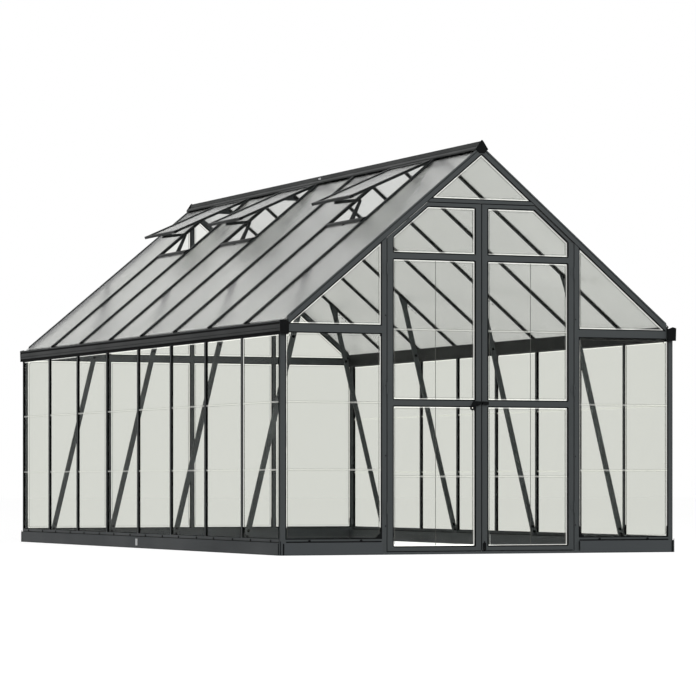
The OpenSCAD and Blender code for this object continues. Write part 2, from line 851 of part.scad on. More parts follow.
module vent_stays() {
    low_z = roof_z(vent_reach, -roof_bar_depth);
    high_z = roof_z(vent_reach, cap_top);
    bend_x = vent_reach - stay_bend_in;
    bend_z = roof_z(vent_reach, 0) + stay_bend_up;
    bend_out = bend_x + stay_size / 2;
    bend_in = bend_x - stay_size / 2;
    reach = sash_length - sash_bar;
    tip_x = hinge_line_x + reach * cos(sash_pitch) - sash_depth * sin(sash_pitch);
    tip_z = hinge_line_z - reach * sin(sash_pitch) - sash_depth * cos(sash_pitch) - stay_seat;
    end_x = tip_x + sash_bar * cos(sash_pitch);
    end_z = tip_z - sash_bar * sin(sash_pitch);
    color(dark_colour)
        mirror([1, 0, 0])
            for (i = vent_bays)
                across(frame_y(i) + bay_width * stay_place, stay_size)
                    union() {
                        polygon([[vent_reach, low_z], [vent_reach, high_z],
                            [bend_out, bend_z - stay_size], [bend_out, bend_z], [bend_x, bend_z],
                            [bend_in, bend_z - stay_size / 2], [bend_in, bend_z - stay_size],
                            [vent_reach - stay_size, low_z]]);
                        polygon([[bend_x, bend_z - stay_size], [end_x, end_z - stay_size],
                            [end_x, end_z], [tip_x, tip_z], [bend_x, bend_z]]);
                    }
}

// An outline in the plane of a door leaf, given the depth of the leaf
module leaf_plate() {
    across((leaf_front + leaf_back) / 2, leaf_depth) children();
}

// Web that rounds the corner of a pane, its sides running along side_x and side_z.
// It starts a little inside its rail, and its points always run the same way round.
corner_root = 1;
corner_arc = [for (a = [0 : 22.5 : 90]) pane_radius * [1 - sin(a), 1 - cos(a)]];
corner_web = concat([[0, -corner_root], [pane_radius, -corner_root]], corner_arc);

module pane_corner(x, z, side_x, side_z) {
    last = len(corner_web) - 1;
    order = side_x * side_z > 0 ? [0 : 1 : last] : [last : -1 : 0];
    polygon([for (i = order) [x + side_x * corner_web[i][0], z + side_z * corner_web[i][1]]]);
}

// The two webs above or below a rail
module rail_corners(z, side_z) {
    pane_corner(meeting_inner, z, 1, side_z);
    pane_corner(leaf_stile_inner, z, -1, side_z);
}

lock_low = lock_level - mid_rail / 2;
lock_high = lock_level + mid_rail / 2;
upper_low = upper_level - mid_rail / 2;
upper_high = upper_level + mid_rail / 2;
rail_top = leaf_bottom + bottom_rail;
top_low = leaf_top - top_rail;
rake_top_x = roof_x(leaf_top, -rake_clear);
rake_under = -rake_clear - raked_rail;

module all_pane_corners() {
    rail_corners(rail_top, 1);
    rail_corners(lock_low, -1);
    rail_corners(lock_high, 1);
    rail_corners(upper_low, -1);
    rail_corners(upper_high, 1);
    pane_corner(meeting_inner, top_low, 1, -1);
}

module leaf_stiles() {
    color(frame_colour) {
        leaf_plate() {
            polygon([[leaf_inner, leaf_bottom], [meeting_inner, leaf_bottom],
                [meeting_inner, leaf_top], [leaf_inner, leaf_top]]);
            polygon([[leaf_stile_inner, leaf_bottom], [leaf_outer, leaf_bottom],
                [leaf_outer, rake_low], [leaf_stile_inner, rake_low]]);
        }
        for (level = hinge_levels) leaf_hinge(level);
    }
}

// Rail between the stiles
module rail_bar(bottom, height) {
    translate([meeting_inner, bottom])
        square([leaf_stile_inner - meeting_inner, height]);
}

module leaf_rails() {
    color(frame_colour)
        leaf_plate() {
            rail_bar(leaf_bottom, bottom_rail);
            rail_bar(lock_low, mid_rail);
            rail_bar(upper_low, mid_rail);
            translate([meeting_inner, top_low])
                square([rake_top_x - meeting_inner, top_rail]);
            all_pane_corners();
        }
}

// Raked rail between the top rail and the head of the outer stile
module leaf_raked_rail() {
    color(frame_colour)
        leaf_plate()
            polygon([[rake_top_x, leaf_top], [leaf_outer, rake_low], [leaf_stile_inner, rake_low],
                [leaf_stile_inner, roof_z(leaf_stile_inner, rake_under)],
                [rake_top_x, roof_z(rake_top_x, rake_under)]]);
}

module leaf_panes() {
    color(clear_colour)
        across((leaf_front + leaf_back) / 2, wall_pane)
            difference() {
                union() {
                    rail_bar(rail_top, lock_low - rail_top);
                    rail_bar(lock_high, upper_low - lock_high);
                    polygon([[meeting_inner, upper_high], [leaf_stile_inner, upper_high],
                        [leaf_stile_inner, roof_z(leaf_stile_inner, rake_under)],
                        [rake_top_x, roof_z(rake_top_x, rake_under)], [rake_top_x, top_low],
                        [meeting_inner, top_low]]);
                }
                all_pane_corners();
            }
}

// Turn latch: lever on the left leaf, keeper on the right leaf
latch_x = -leaf_inner - 28.5;
latch_boss = 5;
latch_boss_radius = 8;
latch_seat = 0.3;
latch_thickness = 7;
// Tapered outline of the lever about its pivot
latch_outline = [[-36, -12], [-24, 14], [24, 12], [24, -4], [0, -14], [-14, -20]];
keeper_height = 18;
keeper_drop = 6;

module latch_lever() {
    color(dark_colour)
        translate([latch_x, leaf_front, lock_level])
            rotate([90, 0, 0])
                union() {
                    translate([0, 0, latch_seat])
                        cylinder(r = latch_boss_radius, h = latch_boss + 1, $fn = 32);
                    translate([0, 0, latch_seat + latch_boss])
                        linear_extrude(latch_thickness) polygon(latch_outline);
                }
}

module latch_keeper() {
    color(dark_colour)
        translate([leaf_inner, leaf_front - latch_boss - latch_thickness, lock_level - keeper_drop])
            cube([stile_width, latch_boss + latch_thickness, keeper_height]);
}

mirror([1, 0, 0]) base_rail_side();  // base_rail_left
base_rail_side();  // base_rail_right
base_rail_back();
base_rails_front();
base_corners();
door_threshold();
wall_sills();
corner_posts();
mirror([1, 0, 0]) side_posts();  // side_posts_left
side_posts();  // side_posts_right
door_jambs();
eave_bars_front();
door_head_bar();
gable_posts_back();
eave_bars_back();
mirror([1, 0, 0]) gutter();  // gutter_left
gutter();  // gutter_right
gutter_end_caps();
ridge_beam();
ridge_end_caps();
gable_rafters_front();
gable_rafters_back();
mirror([1, 0, 0]) roof_bars();  // roof_bars_left
roof_bars();  // roof_bars_right
mirror([1, 0, 0]) knee_braces();  // knee_braces_left
knee_braces();  // knee_braces_right
ridge_gussets();
jamb_gussets();
mirror([1, 0, 0]) side_panes();  // side_panes_left
side_panes();  // side_panes_right
front_panes();
back_panes();
roof_sheets_left();
roof_sheets_right();
vent_sills();
vent_sash_sides();
vent_sash_rails();
vent_panes();
vent_stays();
mirror([1, 0, 0]) leaf_stiles();  // left_door_stiles
mirror([1, 0, 0]) leaf_rails();  // left_door_rails
mirror([1, 0, 0]) leaf_raked_rail();  // left_door_raked_rail
mirror([1, 0, 0]) leaf_panes();  // left_door_panes
leaf_stiles();  // right_door_stiles
leaf_rails();  // right_door_rails
leaf_raked_rail();  // right_door_raked_rail
leaf_panes();  // right_door_panes
latch_lever();
latch_keeper();
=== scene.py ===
# %% [markdown]
# A garden greenhouse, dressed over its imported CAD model. The frame, panes and roof sheets
# come from the CAD as they are; this script gives them their finishes and adds the small
# fittings that a maker buys in: screws, seals, joint strips, bolts and clips.

# %% Load the frame
import json
import math

import bmesh
import bpy
from mathutils import Matrix, Vector


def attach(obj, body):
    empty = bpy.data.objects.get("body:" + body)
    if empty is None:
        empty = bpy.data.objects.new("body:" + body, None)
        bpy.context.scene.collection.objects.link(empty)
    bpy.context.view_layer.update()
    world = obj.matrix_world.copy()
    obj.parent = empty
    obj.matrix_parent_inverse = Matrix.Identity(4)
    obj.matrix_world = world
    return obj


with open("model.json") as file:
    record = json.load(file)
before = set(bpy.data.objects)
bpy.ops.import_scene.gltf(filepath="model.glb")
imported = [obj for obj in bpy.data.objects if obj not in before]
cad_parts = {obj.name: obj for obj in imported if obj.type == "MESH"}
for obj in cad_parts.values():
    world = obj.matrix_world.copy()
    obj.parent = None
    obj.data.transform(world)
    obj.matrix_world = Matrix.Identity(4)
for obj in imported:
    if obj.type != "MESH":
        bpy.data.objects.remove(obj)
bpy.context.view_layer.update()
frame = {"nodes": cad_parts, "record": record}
nodes = frame["nodes"]

# %% [markdown]
# The photograph was taken with a long lens from the left of the door gable, at knee height.
# The lens is kept level, so upright posts stay upright, and the frame is moved with the
# lens shift, as an architect's camera does it.

# %% Camera
camera_data = bpy.data.cameras.new("photo_camera")
camera_data.sensor_width = 36.0
camera_data.lens = 171.17
camera_data.shift_y = 0.1930
camera_data.clip_start = 0.5
camera_data.clip_end = 400.0
camera = bpy.data.objects.new("photo_camera", camera_data)
bpy.context.scene.collection.objects.link(camera)
camera.location = (-8.0610, -19.2007, 0.4036)
camera.rotation_euler = (math.radians(90.0), 0.0, math.radians(-23.228))
bpy.context.scene.camera = camera
print("camera at", tuple(round(v, 2) for v in camera.location))

# %% [markdown]
# Colours are written as the hex values a picture editor shows, and turned to linear light
# once, here. The other helpers add a node with its settings and links, or a step that many
# materials share, so that each material reads as a list of what it is made from.

# %% Colour and node helpers


def linear(hex_code):
    """Linear RGBA of an sRGB hex colour."""
    channels = [int(hex_code[i:i + 2], 16) / 255.0 for i in (1, 3, 5)]
    light = [c / 12.92 if c <= 0.04045 else ((c + 0.055) / 1.055) ** 2.4 for c in channels]
    return (*light, 1.0)


def add_node(tree, kind, settings=None, inputs=None):
    """Adds a node; inputs are values, or sockets to link from."""
    node = tree.nodes.new(kind)
    for name, value in (settings or {}).items():
        setattr(node, name, value)
    for name, value in (inputs or {}).items():
        if isinstance(value, bpy.types.NodeSocket):
            tree.links.new(value, node.inputs[name])
        else:
            node.inputs[name].default_value = value
    return node


def new_material(name):
    """An empty material and its tree."""
    material = bpy.data.materials.new(name)
    material.use_nodes = True
    material.node_tree.nodes.clear()
    return material, material.node_tree


def finish_material(tree, shader):
    """Links the last shader to the output."""
    add_node(tree, "ShaderNodeOutputMaterial", {}, {"Surface": shader.outputs[0]})


def surface(material, tree, sockets):
    """Ends a material in a principled shader with these values or links on its sockets."""
    finish_material(tree, add_node(tree, "ShaderNodeBsdfPrincipled", {}, sockets))
    return material


def piece_space(tree):
    """The coordinates of the piece itself, in metres."""
    return add_node(tree, "ShaderNodeTexCoord").outputs["Object"]


def noise(tree, scale, detail):
    """A cloudy noise between 0 and 1."""
    cloud = add_node(tree, "ShaderNodeTexNoise", {},
                     {"Vector": piece_space(tree), "Scale": scale, "Detail": detail})
    return cloud.outputs["Fac"]


def blend(tree, share, hex_one, hex_two):
    """A colour between two shades, by a share from 0 to 1."""
    mix = add_node(tree, "ShaderNodeMix", {"data_type": "RGBA"},
                   {0: share, 6: linear(hex_one), 7: linear(hex_two)})
    return mix.outputs[2]


def remap(tree, value, source, target):
    """A value carried from one range to another and held there."""
    node = add_node(tree, "ShaderNodeMapRange", {"clamp": True},
                    {"Value": value, "From Min": source[0], "From Max": source[1],
                     "To Min": target[0], "To Max": target[1]})
    return node.outputs["Result"]


def compute(tree, operation, first, second=0.0):
    """One step of arithmetic on sockets or values."""
    node = add_node(tree, "ShaderNodeMath", {"operation": operation}, {0: first, 1: second})
    return node.outputs[0]


def relief(tree, height, strength, distance):
    """A bump from a height."""
    bump = add_node(tree, "ShaderNodeBump", {},
                    {"Height": height, "Strength": strength, "Distance": distance})
    return bump.outputs["Normal"]


print("anthracite in linear light", tuple(round(v, 3) for v in linear("#454A4D")))

# %% [markdown]
# Powder-coated aluminium: a dry powder is sprayed on the bars and baked to a satin skin
# about 0.08 mm thick. It gives the eye an even anthracite grey with a soft sheen, a very
# fine orange peel, and a breath of pale dust on faces that look up.

# %% Powder coat
def powder_coat(name, hex_code, hex_dust, roughness, peel):
    """Satin powder coat with orange peel and faint dust on upward faces."""
    material, tree = new_material(name)
    cloud = noise(tree, 2.3, 4.0)
    normal = add_node(tree, "ShaderNodeNewGeometry").outputs["Normal"]
    up = add_node(tree, "ShaderNodeSeparateXYZ", {}, {0: normal}).outputs["Z"]
    dusty = compute(tree, "MULTIPLY", remap(tree, up, (0.2, 1.0), (0.0, 0.35)), cloud)
    coat = blend(tree, dusty, hex_code, hex_dust)
    tone = remap(tree, cloud, (0.3, 0.7), (roughness - 0.05, roughness + 0.06))
    skin = relief(tree, noise(tree, 420.0, 2.0), peel, 0.0006)
    return surface(material, tree, {
        "Base Color": coat, "Roughness": tone, "Metallic": 0.0, "IOR": 1.5,
        "Specular IOR Level": 0.22, "Normal": skin})


frame_paint = powder_coat("anthracite_powder_coat_on_aluminium", "#45494A", "#585C5A", 0.56, 0.25)
base_paint = powder_coat("anthracite_powder_coat_on_folded_steel", "#474B4D", "#5A5E5C", 0.6, 0.35)
# Painted shade: the same powder coat made darker for the ridge, gutters, roof bars and vents.
shaded_roof_paint = powder_coat("powder_coat_darkened_as_painted_shade_on_roof", "#202323", "#2C2F2E", 0.56, 0.25)
print("made", frame_paint.name, base_paint.name, shaded_roof_paint.name)

# %% [markdown]
# The end caps, the latch and the seals are black: moulded nylon for the caps, which has a
# fine spark-eroded grain, and rubber for the seals, which is duller. The same black rubber
# also paints shadow lines under the sill, on the gutter and along the ground.

# %% Black plastic and rubber


def moulded_black(name, hex_code, roughness, scale):
    """Injection-moulded or extruded black part with a fine grain."""
    material, tree = new_material(name)
    grain = noise(tree, scale, 2.0)
    return surface(material, tree, {
        "Base Color": blend(tree, grain, hex_code, "#131516"), "Roughness": roughness,
        "IOR": 1.5, "Specular IOR Level": 0.05, "Normal": relief(tree, grain, 0.3, 0.0005)})


black_nylon = moulded_black("moulded_black_nylon", "#0C0D0E", 0.5, 300.0)
# This black rubber is also the painted shadow of the sill joint, the gutter and the ground line.
black_rubber_and_shade = moulded_black("black_rubber_and_painted_shade", "#060707", 0.75, 180.0)
print("made", black_nylon.name, black_rubber_and_shade.name)

# %% [markdown]
# The walls are clear sheet with a faint grey-green body colour. Light crosses each pane
# twice, so the tint is mild. Its gloss is kept low, because the photograph was lit so that
# almost nothing mirrors in the walls.

# %% Clear wall sheet
def clear_sheet(name, hex_code, roughness):
    """Clear glazing with a body tint."""
    material, tree = new_material(name)
    return surface(material, tree, {
        "Base Color": linear(hex_code), "Roughness": roughness, "IOR": 1.04,
        "Specular IOR Level": 0.06, "Transmission Weight": 1.0})


wall_sheet = clear_sheet("clear_polycarbonate_sheet", "#E8E9E5", 0.0)
print("made", wall_sheet.name)

# %% [markdown]
# The roof is twin-wall polycarbonate: two thin skins joined by thin ribs that run down the
# slope, with air between. It lets soft grey light through, blurs what is behind it, and
# shows its ribs as fine lines. The ribs stand about 6 mm apart; they are drawn 24 mm apart,
# the finest that this picture can show.

# %% Twin-wall roof sheet
def twin_wall(name, hex_light, hex_rib, pitch_mm):
    """Translucent ribbed sheet; the ribs run across Y."""
    material, tree = new_material(name)
    ribs = add_node(tree, "ShaderNodeTexWave",
                    {"wave_type": "BANDS", "bands_direction": "Y", "wave_profile": "SIN"},
                    {"Vector": piece_space(tree), "Scale": 1000.0 / pitch_mm * 0.1 * math.pi,
                     "Distortion": 0.0})
    edge = remap(tree, ribs.outputs["Fac"], (0.75, 1.0), (0.0, 0.5))
    rough = remap(tree, noise(tree, 3.0, 3.0), (0.3, 0.7), (0.2, 0.26))
    return surface(material, tree, {
        "Base Color": blend(tree, edge, hex_light, hex_rib), "Roughness": rough,
        "IOR": 1.12, "Specular IOR Level": 0.12, "Transmission Weight": 1.0})


roof_sheet = twin_wall("twin_wall_polycarbonate", "#D9DAD8", "#CDCFCD", 24.0)
print("made", roof_sheet.name)

# %% [markdown]
# Each CAD node takes its finish from the slot that the record names for it, so the script
# reads that table and sets the material of every node in one pass. The ridge, gutters, bars
# and vents of the roof get the same paint made darker: a painted shade for the shade on them.

# %% Finishes on the CAD nodes
finish_of_slot = {"frame_paint": frame_paint, "base_steel": base_paint,
                  "black_plastic": black_nylon, "clear_glass": wall_sheet, "roof_sheet": roof_sheet}
slot_of_node = {part["node"]: part["material_slot"] for part in frame["record"]["subparts"]}
ROOF_NODES = ("ridge_beam", "gutter_", "roof_bars_", "vent_")
for node_name, node_object in nodes.items():
    node_object.data.materials.clear()
    finish = finish_of_slot[slot_of_node[node_name]]
    if finish is frame_paint and node_name.startswith(ROOF_NODES):
        finish = shaded_roof_paint
    node_object.data.materials.append(finish)
print("dressed", len(nodes), "nodes")

# %% [markdown]
# The fittings are placed from the same sizes as the CAD model, in millimetres: the bay, the
# heights of the sill, gutter and ridge, the edges of the door leaves, and the roof line. A
# height on the slope comes from one function, so that every roof fitting lies on the slope.

# %% Sizes from the CAD
MM = 0.001
BAY = 583.0
HALF_LENGTH = 2332.0
HALF_WIDTH = 1220.0
OUTER_X = 1235.0
OUTER_Y = 2347.0
BASE_TOP = 70.0
SILL_TOP = 90.0
GUTTER_BOTTOM = 1222.0
GUTTER_TOP = 1295.0
EAVE_BAR = (1233.0, 1279.0)
RIDGE_LINE = 2292.87
PITCH = math.radians(39.7)
JAMB = (587.0, 617.0)
CORNER_X = 1194.0
CORNER_Y = 2310.0
POST_HALF = 10.0
PANE_EDGE = 13.0
HEAD_BAR = (1977.87, 1997.87)
LEAF_X = (3.0, 582.0)
LEAF_Z = (19.0, 1972.87)
PANE_X = (39.0, 546.0)
LOCK_RAIL = (829.5, 866.5)
UPPER_RAIL = (1651.08, 1688.08)


def roof_z(x, rise=0.0):
    """Height of the roof line at a distance from the ridge, raised square to the slope."""
    return RIDGE_LINE - x * math.tan(PITCH) + rise / math.cos(PITCH)


def frame_y(number):
    """Place of a frame along the length; frame 0 is the door gable."""
    return -HALF_LENGTH + number * BAY


print("eaves at", round(roof_z(HALF_WIDTH)), "mm, ridge at", round(roof_z(0.0)), "mm")

# %% [markdown]
# Nearly every fitting starts as a block of stock, added at its size and place. Four small
# tools then do what the workshop does to it: break its edges, sink a face as a press does,
# cut it off at a slope, and copy it. A copy gets its own mesh, moved or mirrored in place.
# Short functions list the usual places: both sides, the four corners, and both door leaves.

# %% Shop tools


def stock_box(name, low, high):
    """A block between two corners in millimetres, left selected."""
    bpy.ops.object.select_all(action="DESELECT")
    centre = [(a + b) / 2 * MM for a, b in zip(low, high)]
    bpy.ops.mesh.primitive_cube_add(size=1.0, location=centre)
    piece = bpy.context.object
    piece.name = name
    piece.scale = [(b - a) * MM for a, b in zip(low, high)]
    bpy.ops.object.transform_apply(location=True, rotation=True, scale=True)
    return piece


def stock_rod(name, centre, radius, length, axis, sides):
    """A round bar about a centre in millimetres, along X, Y or Z."""
    turn = {"X": (0.0, math.pi / 2, 0.0), "Y": (math.pi / 2, 0.0, 0.0), "Z": (0.0, 0.0, 0.0)}[axis]
    bpy.ops.object.select_all(action="DESELECT")
    bpy.ops.mesh.primitive_cylinder_add(vertices=sides, radius=radius * MM, depth=length * MM,
                                        location=[v * MM for v in centre], rotation=turn)
    piece = bpy.context.object
    piece.name = name
    bpy.ops.object.transform_apply(location=True, rotation=True, scale=True)
    return piece


def pick_faces(piece, rule):
    """Selects the faces whose centre in millimetres and normal satisfy a rule."""
    bpy.ops.object.mode_set(mode="EDIT")
    bpy.ops.mesh.select_mode(type="FACE")
    bpy.ops.mesh.select_all(action="DESELECT")
    mesh = bmesh.from_edit_mesh(piece.data)
    for face in mesh.faces:
        if rule(face.calc_center_median() / MM, face.normal):
            face.select_set(True)
    bmesh.update_edit_mesh(piece.data)


def break_edges(piece, width):
    """Bevels every edge of the piece."""
    bpy.ops.object.mode_set(mode="EDIT")
    bpy.ops.mesh.select_mode(type="EDGE")
    bpy.ops.mesh.select_all(action="SELECT")
    bpy.ops.mesh.bevel(offset=width * MM, segments=1, affect="EDGES")
    bpy.ops.object.mode_set(mode="OBJECT")


def sink_faces(piece, direction, rim, depth):
    """Insets the faces that look along a direction and sinks them; a depth below 0 raises."""
    aim = Vector(direction)
    pick_faces(piece, lambda centre, normal: normal.dot(aim) > 0.9)
    bpy.ops.mesh.inset(thickness=rim * MM, depth=-depth * MM)
    bpy.ops.object.mode_set(mode="OBJECT")


def cut_off(piece, point, normal):
    """Saws the piece at a plane and throws away the side that the normal points to."""
    bpy.ops.object.mode_set(mode="EDIT")
    bpy.ops.mesh.select_all(action="SELECT")
    bpy.ops.mesh.bisect(plane_co=[v * MM for v in point], plane_no=normal, use_fill=True,
                        clear_outer=True)
    bpy.ops.object.mode_set(mode="OBJECT")


def copy_of(piece, name, move=(0, 0, 0), flip=""):
    """A copy with its own mesh, moved in millimetres and mirrored about a middle plane."""
    twin = piece.copy()
    twin.data = piece.data.copy()
    twin.name = name
    bpy.context.scene.collection.objects.link(twin)
    twin.data.transform(Matrix.Translation([v * MM for v in move]))
    for axis in flip:
        sides = [-1.0 if axis == letter else 1.0 for letter in "XYZ"]
        twin.data.transform(Matrix.Diagonal((*sides, 1.0)))
        twin.data.flip_normals()
    return twin


def fasten(piece, body, material):
    """Gives a piece its finish and fixes it to its body."""
    piece.data.materials.clear()
    piece.data.materials.append(material)
    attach(piece, body)


def set_out(master, places, body, slot, material):
    """Copies a master to a list of (name, move, flip), fastens the copies, drops the master."""
    for name, move, flip in places:
        fasten(copy_of(master, name, move, flip), body, material)
    bpy.data.objects.remove(master)
    return len(places)


SIDES = (("right", ""), ("left", "X"))
ENDS = (("near", ""), ("far", "Y"))
LEAVES = (("right_leaf", ""), ("left_leaf", "X"))
RUBBER_AND_SHADE = ("house", "black_plastic", black_rubber_and_shade)
NYLON = ("house", "black_plastic", black_nylon)
GLAZING = ("house", "clear_glass")


def both_sides(name, turn=""):
    """Places on the right side and, mirrored, on the left."""
    return [(f"{name}_{side}", (0, 0, 0), turn + flip) for side, flip in SIDES]


def four_corners(name):
    """Places on both sides of both gables."""
    return [(f"{name}_{side}_{end}", (0, 0, 0), turn + flip)
            for side, flip in SIDES for end, turn in ENDS]


def on_leaves(master, name, material, move=(0, 0, 0)):
    """Copies a master to both door leaves and drops it."""
    for body, flip in LEAVES:
        fasten(copy_of(master, f"{name}_{body}", move, flip), body, material)
    bpy.data.objects.remove(master)


print("shop tools ready")

# %% [markdown]
# A rubber seal lies between each pane and its bar. It is an extruded strip pushed into a
# slot in the bar, so it is as deep as the bar and shows as a black line on both sides of
# every post. One strip is modelled with a groove where the pane enters, then copied to both
# ends of every bay on both long sides.

# %% Seals on the side posts
SEAL = 3.0


def seal_or_shade_strip(name, low, high, face, rim=1.0):
    """A strip with broken edges and one grooved face, for a rubber seal or a painted shadow line.
    """
    strip = stock_box(name, low, high)
    break_edges(strip, 0.5)
    sink_faces(strip, face, rim, 0.6)
    return strip


master = seal_or_shade_strip("post_seal", (HALF_WIDTH - 7.5, POST_HALF, SILL_TOP),
                    (HALF_WIDTH + 7.5, POST_HALF + SEAL, GUTTER_BOTTOM), (0, 1, 0), 4.0)
places = []
for side, flip in SIDES:
    for number in range(1, 8):
        places.append((f"post_seal_{side}_{number}a", (0, frame_y(number), 0), flip))
        places.append((f"post_seal_{side}_{number}b", (0, -frame_y(number), 0), "Y" + flip))
    for end, turn in ENDS:
        places.append((f"post_seal_{side}_{end}", (0, -CORNER_Y - POST_HALF, 0), turn + flip))
print("post seals", set_out(master, places, *RUBBER_AND_SHADE))

# %% [markdown]
# The same rubber runs level along the sill and under the gutter, one length to a side. A
# black strip between the sill rail and the steel base is painted shadow; it draws the thin
# dark line along the foot of each long wall.

# %% Level seals and the painted shadow under the sill
levels = {"sill_seal": (6.6, SILL_TOP, SILL_TOP + SEAL),
          "gutter_seal": (6.6, GUTTER_BOTTOM - 4.0, GUTTER_BOTTOM),
          "sill_shadow_strip": (7.6, BASE_TOP + 0.2, BASE_TOP + 4.0)}
for level, (half, low_z, high_z) in levels.items():
    master = seal_or_shade_strip(level, (HALF_WIDTH - half, -CORNER_Y, low_z),
                        (HALF_WIDTH + half, CORNER_Y, high_z), (1, 0, 0))
    set_out(master, both_sides(level), *RUBBER_AND_SHADE)
print("level seals", list(levels))

# %% [markdown]
# The panes of the gables are cut to the slope, so their seals are rings that follow the
# outline of each pane. A ring starts as a flat blank with that outline. Both broad faces are
# inset by the width of the seal and bridged through, which leaves the ring.

# %% Rings round the gable panes


def blank(name, outline, low_y, high_y):
    """A flat blank in the plane of a gable, cut to an outline of X and Z in millimetres."""
    bpy.ops.object.select_all(action="DESELECT")
    bpy.ops.mesh.primitive_circle_add(vertices=len(outline), radius=1.0, fill_type="NGON")
    piece = bpy.context.object
    piece.name = name
    for vertex, (x, z) in zip(piece.data.vertices, outline):
        vertex.co = (x * MM, low_y * MM, z * MM)
    bpy.ops.object.mode_set(mode="EDIT")
    bpy.ops.mesh.select_all(action="SELECT")
    depth = (0.0, (high_y - low_y) * MM, 0.0)
    bpy.ops.mesh.extrude_region_move(TRANSFORM_OT_translate={"value": depth})
    bpy.ops.mesh.select_all(action="SELECT")
    bpy.ops.mesh.normals_make_consistent(inside=False)
    bpy.ops.object.mode_set(mode="OBJECT")
    return piece


def open_ring(piece, direction, width):
    """Insets the two broad faces and bridges them, so that a ring is left."""
    aim = Vector(direction)
    pick_faces(piece, lambda centre, normal: abs(normal.dot(aim)) > 0.9)
    bpy.ops.mesh.inset(thickness=width * MM)
    bpy.ops.mesh.bridge_edge_loops()
    bpy.ops.mesh.select_all(action="SELECT")
    bpy.ops.mesh.normals_make_consistent(inside=False)
    bpy.ops.object.mode_set(mode="OBJECT")
    return piece


def shrink(outline, width):
    """The outline moved inwards by a width, for the ring that lies inside another."""
    inner = []
    for i, point in enumerate(outline):
        here = Vector(point)
        before = (here - Vector(outline[i - 1])).normalized()
        after = (Vector(outline[(i + 1) % len(outline)]) - here).normalized()
        turn = before.x * after.y - before.y * after.x
        spread = 1.0 + before.dot(after)
        side = Vector((-before.y - after.y, before.x + after.x)) / spread
        inner.append(tuple(here + side * width) if abs(turn) > 1e-6 else tuple(here))
    return inner


RAFTER_UNDER = -28.7
GUTTER_INNER = 1183.0
MIDDLE_POST = 13.0
QUARTER_POST = (597.0, 623.0)
GABLE_Y = -2324.0


def under_rafter(x):
    """The point under a gable rafter at a distance from the middle."""
    return (x, roof_z(x, RAFTER_UNDER))


def rafter_meets(z):
    """The distance from the middle at which a height meets the underside of a rafter."""
    return (RIDGE_LINE - z + RAFTER_UNDER / math.cos(PITCH)) / math.tan(PITCH)


low_bay = [(CORNER_X, SILL_TOP), (CORNER_X, GUTTER_BOTTOM), (GUTTER_INNER, GUTTER_BOTTOM),
           (GUTTER_INNER, EAVE_BAR[0])]
eave_end = (rafter_meets(EAVE_BAR[1]), EAVE_BAR[1])
top_x = rafter_meets(HEAD_BAR[1])
near_x, far_x = QUARTER_POST
GABLE_PANES = {
    "front_bay": [(JAMB[1], SILL_TOP), *low_bay, (JAMB[1], EAVE_BAR[0])],
    "front_eave": [(JAMB[1], EAVE_BAR[1]), eave_end, under_rafter(JAMB[1])],
    "front_top": [(-top_x, HEAD_BAR[1]), (top_x, HEAD_BAR[1]), under_rafter(0.0)],
    "back_bay": [(far_x, SILL_TOP), *low_bay, (far_x, EAVE_BAR[0])],
    "back_mid": [(MIDDLE_POST, SILL_TOP), (near_x, SILL_TOP), (near_x, EAVE_BAR[0]),
                 (MIDDLE_POST, EAVE_BAR[0])],
    "back_rake": [(MIDDLE_POST, EAVE_BAR[1]), (near_x, EAVE_BAR[1]), under_rafter(near_x),
                  under_rafter(MIDDLE_POST)],
    "back_eave": [(far_x, EAVE_BAR[1]), eave_end, under_rafter(far_x)]}


def pane_ring(name, outline, width, depth):
    """A ring of given width along an outline, its depth centred on the pane."""
    piece = blank(name, outline, GABLE_Y - depth / 2, GABLE_Y + depth / 2)
    return open_ring(piece, (0, 1, 0), width)


def pane_places(name, pane):
    """Places of a ring: a front or back pane, on both sides unless it spans the middle."""
    places = both_sides(f"{name}_{pane}", "Y" if pane.startswith("back") else "")
    return places[:1] if pane == "front_top" else places


total = 0
for pane, outline in GABLE_PANES.items():
    seal = pane_ring(pane, shrink(outline, -2.0), 5.5, 17.0)
    total += set_out(seal, pane_places("pane_seal", pane), *RUBBER_AND_SHADE)
print("gable seals", total)

# %% [markdown]
# Sheet glazing gathers light and lets it out at its cut edges, so each pane has a thin bright
# line inside its black seal. A pale ring on the edge of the sheet, flatter than the seal, glows
# a little to make that line: a painted highlight. It is sawn off above the sill, and in the
# side walls also short of the far post. A hair-thin ring further in is painted in the shaded
# grey that the lips get below.

# %% Painted glow on the pane edges
def painted_glow_extrusion(name, shades, scale, gloss, glow):
    """Clear extrusion with a milky core and a painted glow; the glow is the blue of its light and
    the strength.
    """
    material, tree = new_material(name)
    shade = blend(tree, noise(tree, scale, 2.0), *shades)
    roughness, specular = gloss
    blue, strength = glow
    return surface(material, tree, {
        "Base Color": shade, "Roughness": roughness, "IOR": 1.04,
        "Specular IOR Level": specular, "Transmission Weight": 1.0,
        "Emission Color": (1.0, 1.0, blue, 1.0), "Emission Strength": strength})


# Painted highlight: the edge rings glow a little to draw the bright line inside each seal.
glowing_edge_finish = painted_glow_extrusion("edge_ring_with_painted_glow", ("#F2F3F0", "#F4F5F2"), 60.0, (0.1, 0.1),
                           (0.98, 0.34))
GLOW_WIDTH = 4.2
FOOT = 62.0
SHADE_LINE_WIDTH = 1.0
GLOW_DEPTH = 5.0
SHADE_LINE_DEPTH = 4.6
SHADE_LINE_INSET = 13.0
OPEN_END = 40.0


def lip_grey(name, hex_code):
    """Grey of a clear lip that lies in the shadow of its own grip."""
    material, tree = new_material(name)
    shade = blend(tree, noise(tree, 40.0, 2.0), hex_code, "#6B6B67")
    return surface(material, tree, {
        "Base Color": shade, "Roughness": 0.6, "Specular IOR Level": 0.1})


